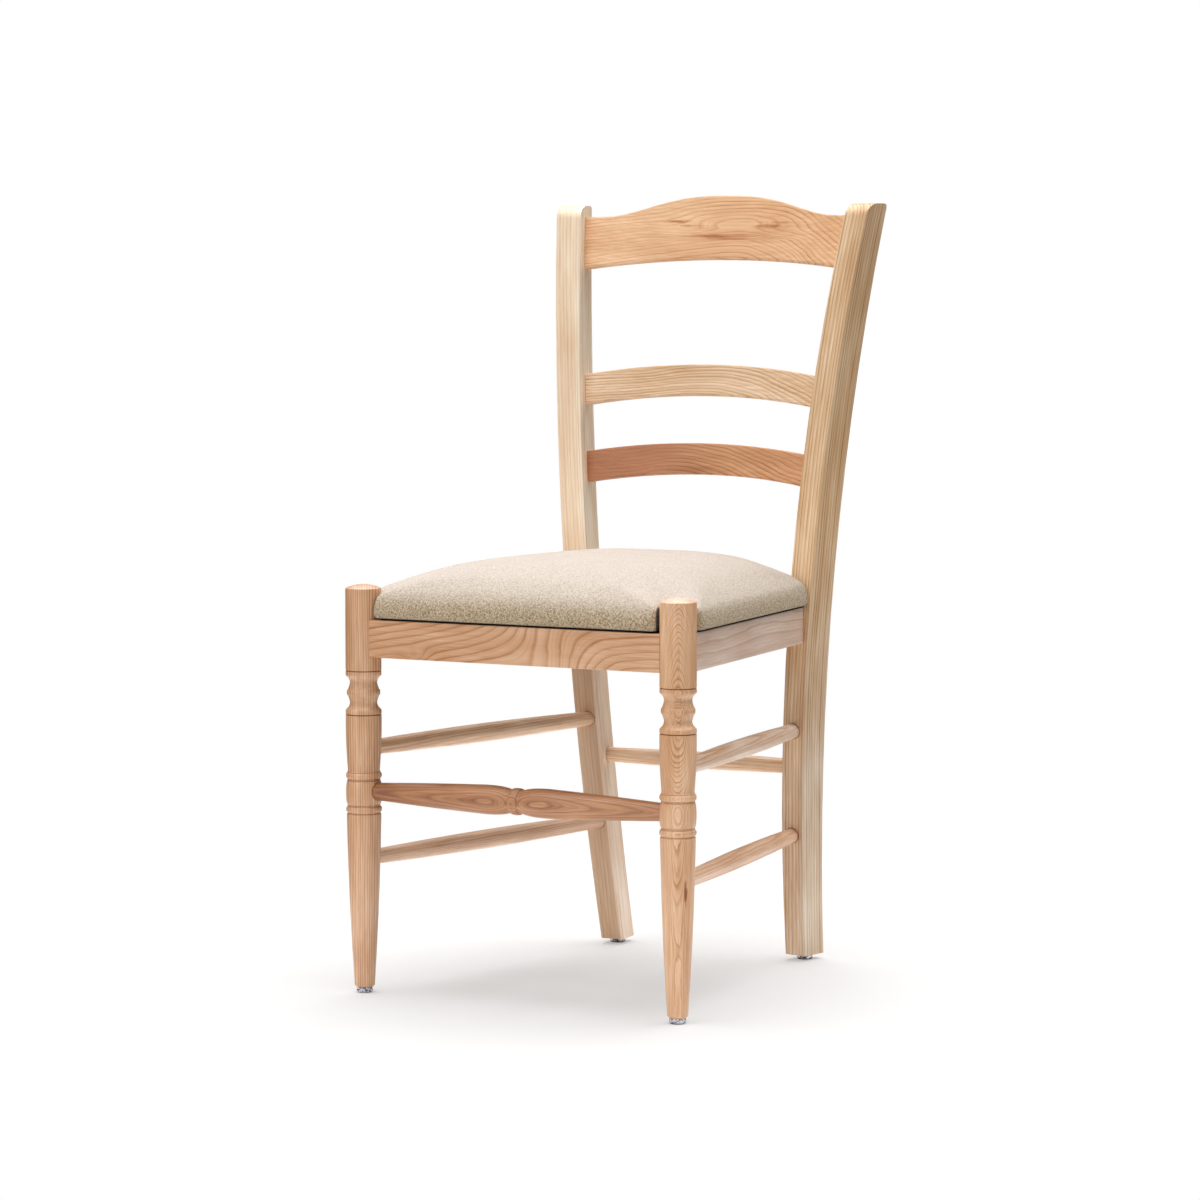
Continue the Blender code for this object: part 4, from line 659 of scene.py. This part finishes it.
def black_lining():
    """Thin black cloth, its threads drawn as bands both ways."""
    s = Shader("black_lining")
    place = s.object_place()
    bands = [s.texture("ShaderNodeTexWave", place, 0.35, wave_type="BANDS", bands_direction=axis)
             for axis in "XY"]
    weave = s.math("MULTIPLY", *(band.outputs["Fac"] for band in bands))
    lint = s.noise(place, 3.0, scale=0.5)
    colour = s.mix(s.math("MULTIPLY", weave, lint), rgb(16, 15, 15), rgb(44, 42, 42))
    s.bump(weave, 0.3, 0.6)
    return s.finish(Base_Color=colour, Roughness=0.9, Specular_IOR_Level=0.2)


def plywood():
    """Flat layers of two browns, streaked along the grain."""
    s = Shader("board_plies")
    place = s.object_place()
    ply = s.math("FRACT", s.math("DIVIDE", s.part(place, "Z"), PLY_PAIR))
    streak = s.noise(s.vector("MULTIPLY", place, (0.02, 0.5, 0.5)), 3.0)
    darker = s.math("GREATER_THAN", ply, 0.5)
    share = s.madd(darker, 0.6, s.math("MULTIPLY", streak, 0.4))
    s.bump(streak, 0.1, 0.4)
    colour = s.mix(share, rgb(212, 180, 140), rgb(168, 126, 86))
    return s.finish(Base_Color=colour, Roughness=0.65)


def foam():
    """Yellowed foam with cells about a millimetre across."""
    s = Shader("foam_cells")
    cells = s.texture("ShaderNodeTexVoronoi", s.object_place(), 0.9, feature="F1")
    depth = cells.outputs["Distance"]
    s.bump(depth, 0.4, 0.6)
    colour = s.mix(depth, rgb(196, 178, 120), rgb(232, 220, 170))
    return s.finish(Base_Color=colour, Roughness=0.95)


WOOL = wool()
ZINC = metal("screw_zinc", rgb(206, 200, 182), 0.34, 2.0)
OTHERS = {
    # Painted reflection: the glide's near-black patches stand in for the dark reflections on its
    # nickel.
    "glide": metal("glide_nickel", rgb(196, 196, 206), 0.10, 1.0, 0.12),
    "block_screw": ZINC,
    "seat_screw": ZINC,
    "seat_board": plywood(),
    "seat_bottom_cloth": black_lining(),
    "seat_foam": foam(),
    "seat_cover": WOOL,
}


def packed_material(node):
    """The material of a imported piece. Glides and screws are found by how their names begin."""
    if node in ASH:
        return ASH[node]
    return next(material for word, material in OTHERS.items() if node.startswith(word))


def dress(node, piece):
    """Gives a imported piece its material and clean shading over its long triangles."""
    piece.data.materials.clear()
    piece.data.materials.append(packed_material(node))
    if "custom_normal" in piece.data.attributes:
        piece.data.attributes.remove(piece.data.attributes["custom_normal"])
    piece.data.polygons.foreach_set("use_smooth", [True] * len(piece.data.polygons))
    weld = piece.modifiers.new("weld", "WELD")
    weld.merge_threshold = 1e-5
    split = piece.modifiers.new("arrises", "EDGE_SPLIT")
    split.split_angle = SMOOTH_ANGLE
    normals = piece.modifiers.new("flat faces", "WEIGHTED_NORMAL")
    normals.keep_sharp = True


for node, piece in NODES.items():
    dress(node, piece)


# Meshes made here

TURN_SEGMENTS = 96
LEG_TRIM = 0.9899
LEG_NECK = 17.7
LEG_DOME_RADIUS = 18.8
BEAD_FULLNESS = 0.8
COVE_WAIST = 15.2
COVE_STEPS = 14
LEG_FOOT = [(6.3, 9.5), (6.9, 10.1), (8.1, 11.3)]
CALF_TOP, THIGH_LOW_Z, THIGH_HIGH_Z = (199.2, 19.3), 247.4, 308.8
LOW_RING_Z, BARREL_Z, HIGH_RING_Z, BARREL_LENGTH = 204.4, 223.3, 242.2, 27.4
COVE_LOW_Z, COVE_HIGH_Z = 315.0, 353.5
COVE_BEAD_Z, COVE_BEAD_HALF, COVE_BEAD_BASE, COVE_BEAD_CROWN = 334.25, 3.5, 17.2, 18.6
BELLY_LOW, BELLY_HIGH = (14.0, STRETCHER_END_RADIUS), (151.71, 16.1)
NECK_LENGTH, NECK_DROP = 31.5, 2.9
MIDDLE_BEAD_LENGTH, MIDDLE_BEAD_CROWN = 11.0, 14.8


def link(name, data):
    """Puts a new object with this data into the scene."""
    made = bpy.data.objects.new(name, data)
    bpy.context.scene.collection.objects.link(made)
    return made


def lofted(rings):
    """A closed mesh through rings of points, each with as many points as the first or just one."""
    bm = bmesh.new()
    rows = [[bm.verts.new(point) for point in ring] for ring in rings]
    for lower, upper in zip(rows, rows[1:]):
        for i in range(len(lower)):
            j = (i + 1) % len(lower)
            if len(upper) == 1:
                bm.faces.new((lower[i], lower[j], upper[0]))
            else:
                bm.faces.new((lower[i], lower[j], upper[j], upper[i]))
    for row in (rows[0], rows[-1]):
        if len(row) > 1:
            bm.faces.new(row)
    return bm


def add_piece(name, rings, material):
    """Makes a piece of the chair from rings in millimetres, in the chair's own frame."""
    bm = lofted(rings)
    bmesh.ops.scale(bm, vec=(MM, MM, MM), verts=bm.verts)
    bmesh.ops.recalc_face_normals(bm, faces=bm.faces)
    mesh = bpy.data.meshes.new(name)
    bm.to_mesh(mesh)
    bm.free()
    mesh.shade_smooth()
    mesh.set_sharp_from_angle(angle=SMOOTH_ANGLE)
    mesh.materials.append(material)
    made = link(name, mesh)
    return made


def turn(name, profile, start, end, material):
    """A turned piece on the line from start to end. The profile is (distance, radius)."""
    axis = (Vector(end) - Vector(start)).normalized()
    lay = axis.to_track_quat("Z", "Y").to_matrix()
    turns = [math.tau * k / TURN_SEGMENTS for k in range(TURN_SEGMENTS)]
    rings = []
    for distance, radius in profile:
        middle = Vector(start) + axis * distance
        spots = [Vector((radius * math.cos(t), radius * math.sin(t), 0.0)) for t in turns]
        rings.append([middle + lay @ spot for spot in spots] if radius > 0.0 else [middle])
    return add_piece(name, rings, material)


def bead(middle, length, base, crown, steps):
    """A round bead of this length that rises from the base radius to the crown radius."""
    angles = [math.pi * k / steps for k in range(steps + 1)]
    return [(middle - length / 2 * math.cos(angle),
             base + (crown - base) * math.sin(angle) ** BEAD_FULLNESS) for angle in angles]


def cove(low, low_radius, high, high_radius):
    """A hollow from low to high that narrows to the waist radius, without its two ends."""
    pairs = []
    for k in range(1, COVE_STEPS):
        share = k / COVE_STEPS
        edge = low_radius + (high_radius - low_radius) * share
        hollow = (edge - COVE_WAIST) * math.sin(math.pi * share)
        pairs.append((low + (high - low) * share, edge - hollow))
    return pairs


def taper(low, low_radius, high, high_radius, swell, steps):
    """An even change of radius from low to high with a slight swell at its middle."""
    pairs = []
    for k in range(steps + 1):
        share = k / steps
        radius = low_radius + (high_radius - low_radius) * share
        pairs.append((low + (high - low) * share, radius + swell * math.sin(math.pi * share)))
    return pairs


def scored_line(z):
    """A fine line cut into the leg's full round."""
    cut = ((-0.7, 0.0), (-0.35, 0.8), (0.0, 0.95), (0.35, 0.8), (0.7, 0.0))
    return [(z + shift, LEG_RADIUS - depth) for shift, depth in cut]


def ringed_bead(middle):
    """A bead with a narrow step on each side, between two necks."""
    edge, step, step_radius, base = 5.2, 4.6, 18.5, 17.9
    return [(middle - edge, LEG_NECK), (middle - step, step_radius),
            *bead(middle, 6.8, base, LEG_RADIUS, 12),
            (middle + step, step_radius), (middle + edge, LEG_NECK)]


def leg_profile():
    """From the foot up: calf, barrel between two ringed beads, thigh, two coves round a bead,
    plain cylinder and domed top."""
    profile = LEG_FOOT + taper(*LEG_FOOT[-1], *CALF_TOP, 1.25, 24)[1:]
    profile += ringed_bead(LOW_RING_Z)[1:]
    profile += bead(BARREL_Z, BARREL_LENGTH, LEG_NECK, LEG_RADIUS, 24)[1:-1]
    profile += ringed_bead(HIGH_RING_Z)
    profile += taper(THIGH_LOW_Z, LEG_NECK, THIGH_HIGH_Z, LEG_RADIUS, 0.75, 16)[1:]
    profile += scored_line(LEG_LINES[0])
    profile += [(COVE_LOW_Z - 0.4, LEG_RADIUS), (COVE_LOW_Z, LEG_RADIUS - 0.2)]
    profile += cove(COVE_LOW_Z, LEG_RADIUS, COVE_BEAD_Z - COVE_BEAD_HALF, COVE_BEAD_BASE)
    profile += bead(COVE_BEAD_Z, COVE_BEAD_HALF * 2, COVE_BEAD_BASE, COVE_BEAD_CROWN, 12)
    profile += cove(COVE_BEAD_Z + COVE_BEAD_HALF, COVE_BEAD_BASE, COVE_HIGH_Z, LEG_RADIUS)
    profile += [(COVE_HIGH_Z, LEG_RADIUS - 0.2), (COVE_HIGH_Z + 0.4, LEG_RADIUS)]
    profile += scored_line(LEG_LINES[1])
    profile += [(LEG_RIM_Z - 1.4, LEG_RADIUS), (LEG_RIM_Z - 0.6, LEG_RADIUS - 0.25)]
    for share in (1.0, 0.9, 0.75, 0.55, 0.35, 0.18, 0.0):
        rise = (LEG_TOP_Z - LEG_RIM_Z) * (1 - share ** 2)
        profile.append((LEG_RIM_Z + rise, LEG_DOME_RADIUS * share))
    return [(z, min(radius, LEG_RADIUS) * LEG_TRIM) for z, radius in profile]


def stretcher_profile():
    """Half the front stretcher, mirrored: thin end, long belly, neck and middle bead."""
    half = [(0.0, STRETCHER_END_RADIUS - 0.3), (0.6, STRETCHER_END_RADIUS)]
    half += taper(*BELLY_LOW, *BELLY_HIGH, 0.4, 24)
    belly_end, belly_radius = BELLY_HIGH
    for k in range(1, 13):
        share = k / 12
        half.append((belly_end + NECK_LENGTH * share, belly_radius - NECK_DROP * share ** 3))
    crown = bead(STRETCHER_REACH, MIDDLE_BEAD_LENGTH, half[-1][1], MIDDLE_BEAD_CROWN, 14)
    return half + crown + [(STRETCHER_REACH * 2 - at, radius) for at, radius in reversed(half)]


for word, side in (("right", 1), ("left", -1)):
    node = "front_leg_" + word
    foot, top = ((side * LEG_X, LEG_Y, z) for z in (0.0, LEG_TOP_Z))
    leg = turn("turned_" + node, leg_profile(), foot, top, ASH[node])
    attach(leg, ROOT)
    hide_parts(node)

left, right = ((side * STRETCHER_REACH, LEG_Y, STRETCHER_Z) for side in (-1, 1))
rail = turn("turned_front_stretcher", stretcher_profile(), left, right, ASH["front_stretcher"])
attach(rail, ROOT)
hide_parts("front_stretcher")


# Seat pad

PAD_SIDE_HEIGHT = 30.0
PAD_SHOULDER = 17.0
PAD_SHOULDER_FULLNESS = 3.2
PAD_BULGE = 3.4
PAD_BELLY_HEIGHT = 9.5
PAD_CROWN = 33.6
PAD_FRONT_Y = -245.64
PAD_REAR_Y = 183.42
PAD_MIDDLE_Y = (PAD_REAR_Y + PAD_FRONT_Y) / 2
PAD_HALF_WIDTH = 210.95
PAD_TAPER = 0.15341
CROWN_FULLNESS_ACROSS, CROWN_FULLNESS_ALONG = 3.4, 4.2
NOTCH_SHOULDER, NOTCH_BULGE = 7.0, 2.2
NOTCH_X, NOTCH_Y = 180.0, -214.0
NOTCH_DIP, NOTCH_DIP_REACH = 7.0, 24.0
PAD_HALF = [
    (175.3, PAD_FRONT_Y, 1.5, False),
    (175.3, -210.54, 3.0, False),
    (211.87, -210.54, 3.0, True),
    (156.97, 147.34, 5.0, False),
    (130.15, 151.22, 3.0, False),
    (135.42, PAD_REAR_Y, 5.0, True),
]
UNDERSIDE_INSETS = (26.0, 12.0, 5.0, 1.5)
EDGE_LIFT = 0.7
BELLY_STEPS, SHOULDER_STEPS, CROWN_STEPS = 6, 14, 22
ARC_STEPS = 6
EDGE_STEP = 7.0
HELD_BELOW, LOOSE_ABOVE = 4.0, 16.0
CLOTH_MESH = 3.6
CLOTH_FRAMES = 20
CLOTH_LIMIT = 2.0
CLOTH = {
    "quality": 6, "mass": 0.3, "tension_stiffness": 20.0, "compression_stiffness": 20.0,
    "shear_stiffness": 8.0, "bending_stiffness": 3.0, "use_pressure": True,
    "uniform_pressure_force": 4.0, "vertex_group_mass": "held",
}


def whole_border():
    """All twelve corners as (x, y, rounding, whether the edge after it bulges). Both the front
    and the rear edge do."""
    left = [(-x, y, rounding, PAD_HALF[index - 1][3])
            for index, (x, y, rounding, _) in enumerate(PAD_HALF)]
    return PAD_HALF + left[::-1]


def edge_inset(inset, bulges):
    """How far in an edge lies. The sides of the notches are tighter than the free edges."""
    if bulges or inset > PAD_SHOULDER:
        return inset
    share = (inset + PAD_BULGE) / (PAD_SHOULDER + PAD_BULGE)
    return NOTCH_SHOULDER * share - NOTCH_BULGE * (1 - share)


def pad_corners(border, inset):
    """Each corner of the border at this inset, and whether it points outwards."""
    corners = []
    for i, (*_, bulges) in enumerate(border):
        spots = (border[i - 1], border[i], border[(i + 1) % len(border)])
        before, here, after = (Vector(spot[:2]) for spot in spots)
        first = (here - before).normalized()
        second = (after - here).normalized()
        inset_before = edge_inset(inset, border[i - 1][3])
        bend = first.x * second.y - first.y * second.x
        slide = (edge_inset(inset, bulges) - inset_before * first.dot(second)) / bend
        inwards = Vector((-first.y, first.x))
        corners.append((here + inwards * inset_before - first * slide, bend > 0))
    return corners


def pad_outline(inset, counts=None):
    """The pad's border at this inset, its corners rounded. Counts keeps the number of points
    the same on every ring."""
    border = whole_border()
    corners = pad_corners(border, inset)
    nexts = [(i + 1) % len(corners) for i in range(len(corners))]
    shares = [k / ARC_STEPS for k in range(ARC_STEPS + 1)]
    arcs = []
    for i, (here, convex) in enumerate(corners):
        rounding = max(border[i][2] + (-inset if convex else inset), 1.0)
        to_before = (corners[i - 1][0] - here).normalized()
        to_after = (corners[nexts[i]][0] - here).normalized()
        reach = rounding / math.tan(to_before.angle(to_after) / 2)
        start = here + to_before * reach
        end = here + to_after * reach
        arcs.append([start * (1 - t) ** 2 + here * (2 * t * (1 - t)) + end * t ** 2
                     for t in shares])
    if counts is None:
        lengths = [(arcs[nexts[i]][0] - arc[-1]).length for i, arc in enumerate(arcs)]
        counts = [max(1, round(length / EDGE_STEP)) for length in lengths]
    outline = []
    for i, arc in enumerate(arcs):
        outline += arc
        outline += [arc[-1].lerp(arcs[nexts[i]][0], k / counts[i]) for k in range(1, counts[i])]
    return outline, counts


def pad_crown(x, y):
    """How far the top rises above the shoulders, with a dip at each front leg."""
    half_width = PAD_HALF_WIDTH - (y - LEG_Y) * PAD_TAPER
    half_length = (PAD_REAR_Y - PAD_FRONT_Y) / 2
    across = min(abs(x) / half_width, 1.0) ** CROWN_FULLNESS_ACROSS
    along = min(abs(y - PAD_MIDDLE_Y) / half_length, 1.0) ** CROWN_FULLNESS_ALONG
    off = math.hypot(abs(x) - NOTCH_X, y - NOTCH_Y) / NOTCH_DIP_REACH
    return PAD_CROWN * (1 - across) * (1 - along) - NOTCH_DIP * math.exp(-off * off)


def pad_rings():
    """Rings from under the pad, up its sides and over its shoulder, to the crown's middle."""
    _, counts = pad_outline(0.0)

    def ring(inset, lift):
        share = min(max(lift / PAD_SIDE_HEIGHT, 0.0), 1.0)
        points, _ = pad_outline(inset, counts)
        return [Vector((p.x, p.y, PAD_Z + lift + pad_crown(p.x, p.y) * share ** 2))
                for p in points]

    rings = [ring(inset, 0.0) for inset in UNDERSIDE_INSETS]
    rings += [ring(0.35, 0.12), ring(-0.2, EDGE_LIFT)]
    for k in range(1, BELLY_STEPS + 1):
        angle = math.pi / 2 * k / BELLY_STEPS
        lift = EDGE_LIFT + (PAD_BELLY_HEIGHT - EDGE_LIFT) * (1 - math.cos(angle))
        rings.append(ring(-PAD_BULGE * math.sin(angle), lift))
    power = 2 / PAD_SHOULDER_FULLNESS
    for k in range(1, SHOULDER_STEPS + 1):
        angle = math.pi / 2 * k / SHOULDER_STEPS
        inset = PAD_SHOULDER - (PAD_SHOULDER + PAD_BULGE) * math.cos(angle) ** power
        lift = PAD_BELLY_HEIGHT + (PAD_SIDE_HEIGHT - PAD_BELLY_HEIGHT) * math.sin(angle) ** power
        rings.append(ring(inset, lift))
    shoulder = rings[-1]
    top = PAD_Z + PAD_SIDE_HEIGHT
    for k in range(1, CROWN_STEPS):
        share = 1 - k / CROWN_STEPS
        spots = [(p.x * share, PAD_MIDDLE_Y + (p.y - PAD_MIDDLE_Y) * share) for p in shoulder]
        rings.append([Vector((x, y, top + pad_crown(x, y))) for x, y in spots])
    rings.append([Vector((0.0, PAD_MIDDLE_Y, top + PAD_CROWN))])
    return rings


def held_share(lift):
    """How firmly the cover is held, this many millimetres above its lower edge."""
    return min(max((LOOSE_ABOVE - lift) / (LOOSE_ABOVE - HELD_BELOW), 0.0), 1.0)


def evaluated(piece):
    return piece.evaluated_get(bpy.context.evaluated_depsgraph_get())


def points_of(mesh):
    """The places of a mesh's points, a row for each."""
    places = np.empty(len(mesh.vertices) * 3)
    mesh.vertices.foreach_get("co", places)
    return places.reshape(-1, 3)


def settle(piece):
    """Blows a held cloth up for a few steps and gives back where its points end."""
    cloth = piece.modifiers.new("cloth", "CLOTH")
    for key, value in CLOTH.items():
        setattr(cloth.settings, key, value)
    cloth.settings.effector_weights.gravity = 0.0
    cloth.point_cache.frame_start = 1
    cloth.point_cache.frame_end = CLOTH_FRAMES
    for step in range(1, CLOTH_FRAMES + 1):
        bpy.context.scene.frame_set(step)
    moved = points_of(evaluated(piece).to_mesh())
    piece.to_mesh_clear()
    piece.modifiers.clear()
    bpy.context.scene.frame_set(1)
    return moved


def stuff(piece):
    """Puffs the cover out from inside, but keeps every point near its place."""
    drawn = piece.data
    remesh = piece.modifiers.new("even mesh", "REMESH")
    remesh.mode = "VOXEL"
    remesh.voxel_size = CLOTH_MESH * MM
    even = bpy.data.meshes.new_from_object(evaluated(piece))
    piece.modifiers.clear()
    piece.data = even
    bpy.data.meshes.remove(drawn)
    rest = points_of(even)
    held = piece.vertex_groups.new(name="held")
    for index, place in enumerate(rest):
        share = held_share(place[2] / MM - PAD_Z)
        if share > 0.0:
            held.add([index], share, "REPLACE")
    shift = settle(piece) - rest
    length = np.linalg.norm(shift, axis=1, keepdims=True)
    limit = CLOTH_LIMIT * MM
    shift *= limit * np.tanh(length / limit) / np.maximum(length, 1e-9)
    even.vertices.foreach_set("co", (rest + shift).ravel())
    even.update()
    even.materials.clear()
    even.materials.append(WOOL)
    even.shade_smooth()
    smooth = piece.modifiers.new("softer", "SMOOTH")
    smooth.factor = 0.5
    smooth.iterations = 12
    smooth.vertex_group = "held"
    smooth.invert_vertex_group = True
    finer = piece.modifiers.new("finer", "SUBSURF")
    finer.levels = 1
    finer.render_levels = 1


cushion = add_piece("cushion", pad_rings(), WOOL)
stuff(cushion)
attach(cushion, ROOT)
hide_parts("seat_cover", "seat_foam")


# Camera, light and floor

CAMERA_RIGHT = Vector((0.869238, 0.494394, 0.000174))
CAMERA_UP = Vector((-0.038737, 0.067757, 0.99695))
CAMERA_AHEAD = Vector((-0.492874, 0.866593, -0.078049))
CAMERA_PLACE = (2.293465, -4.085606, 0.794875)
CAMERA_LENS, CAMERA_SENSOR, CAMERA_REACH = 125.05, 36.0, 200.0
SUN_WAY = Vector((0.02, -0.18, -1.0))
SUN_STRENGTH = 4.15
SUN_WIDTH = math.radians(78.0)
FRONT_LIGHT = Vector((-0.25, -0.96, 0.2))
SIDE_LIGHT = Vector((0.95, 0.0, 0.3))
SKY_AROUND = 0.03
SKY_ASIDE = 0.16
SKY_ABOVE = 0.30
SKY_AHEAD = 1.45
SKY_FOCUS = 3.0
FLOOR_HALF = 60.0
SHEET_REACH = 800.0
SHEET_SEEN = 0.475
SHEET_GLOW = 0.358
FAR_GLOW = 0.12


def make_camera():
    data = bpy.data.cameras.new("camera")
    data.lens = CAMERA_LENS
    data.sensor_width = CAMERA_SENSOR
    data.clip_end = CAMERA_REACH
    camera = link("camera", data)
    turned = Matrix((CAMERA_RIGHT, CAMERA_UP, -CAMERA_AHEAD)).transposed()
    camera.matrix_world = Matrix.Translation(CAMERA_PLACE) @ turned.to_4x4()
    bpy.context.scene.camera = camera


def make_sun():
    """A wide light from high above and a little behind."""
    data = bpy.data.lights.new("overhead", "SUN")
    data.energy = SUN_STRENGTH
    data.angle = SUN_WIDTH
    link("overhead", data).rotation_euler = SUN_WAY.to_track_quat("-Z", "Y").to_euler()


def make_world():
    """A white room that lights the chair dimly at the sides, more in front and from above."""
    world = bpy.data.worlds.new("studio")
    world.use_nodes = True
    s = Nodes(world.node_tree)
    s.tree.nodes.clear()
    way = s.node("ShaderNodeTexCoord").outputs["Generated"]
    level = s.madd(s.math("MAXIMUM", s.part(way, "Z"), 0.0), SKY_ABOVE, SKY_AROUND)
    for towards, strength in ((FRONT_LIGHT, SKY_AHEAD), (SIDE_LIGHT, SKY_ASIDE)):
        lobe = s.vector("DOT_PRODUCT", way, tuple(towards.normalized()))
        lobe = s.math("POWER", s.math("MAXIMUM", lobe, 0.0), SKY_FOCUS)
        level = s.madd(lobe, strength, level)
    soft = s.node("ShaderNodeBackground", s.combine(level, level, level))
    white = s.node("ShaderNodeBackground", WHITE)
    seen = s.node("ShaderNodeLightPath").outputs["Is Camera Ray"]
    shown = s.node("ShaderNodeMixShader", seen, soft.outputs[0], white.outputs[0])
    s.node("ShaderNodeOutputWorld", shown.outputs[0])
    bpy.context.scene.world = world


def floor_material():
    """A white sheet near the chair that runs out into an even white glow."""
    s = Shader("floor_white")
    place = s.object_place()
    seen = s.node("ShaderNodeLightPath").outputs["Is Camera Ray"]
    sheet = s.mix(s.noise(place, scale=0.02), (0.90, 0.90, 0.90, 1.0), (0.93, 0.925, 0.92, 1.0))
    s.finish(Base_Color=s.vector("SCALE", sheet, scale=s.spread(seen, 0.0, 1.0, 1.0, SHEET_SEEN)),
             Roughness=1.0, Specular_IOR_Level=0.0, Emission_Color=(1.0, 0.99, 0.98, 1.0),
             Emission_Strength=s.math("MULTIPLY", seen, SHEET_GLOW))
    far = s.spread(s.vector("LENGTH", place), SHEET_REACH, SHEET_REACH * 1.5)
    glow = s.node("ShaderNodeEmission", WHITE, s.spread(seen, 0.0, 1.0, FAR_GLOW, 1.0))
    both = s.node("ShaderNodeMixShader", far, s.surface.outputs[0], glow.outputs[0])
    s.put(s.tree.nodes["Material Output"].inputs["Surface"], both.outputs[0])
    return s.material


def make_floor():
    bm = bmesh.new()
    bmesh.ops.create_grid(bm, x_segments=1, y_segments=1, size=FLOOR_HALF)
    mesh = bpy.data.meshes.new("floor")
    bm.to_mesh(mesh)
    bm.free()
    mesh.materials.append(floor_material())
    floor = link("floor", mesh)


make_camera()
make_world()
make_sun()
make_floor()
bpy.context.scene.view_settings.view_transform = "Standard"
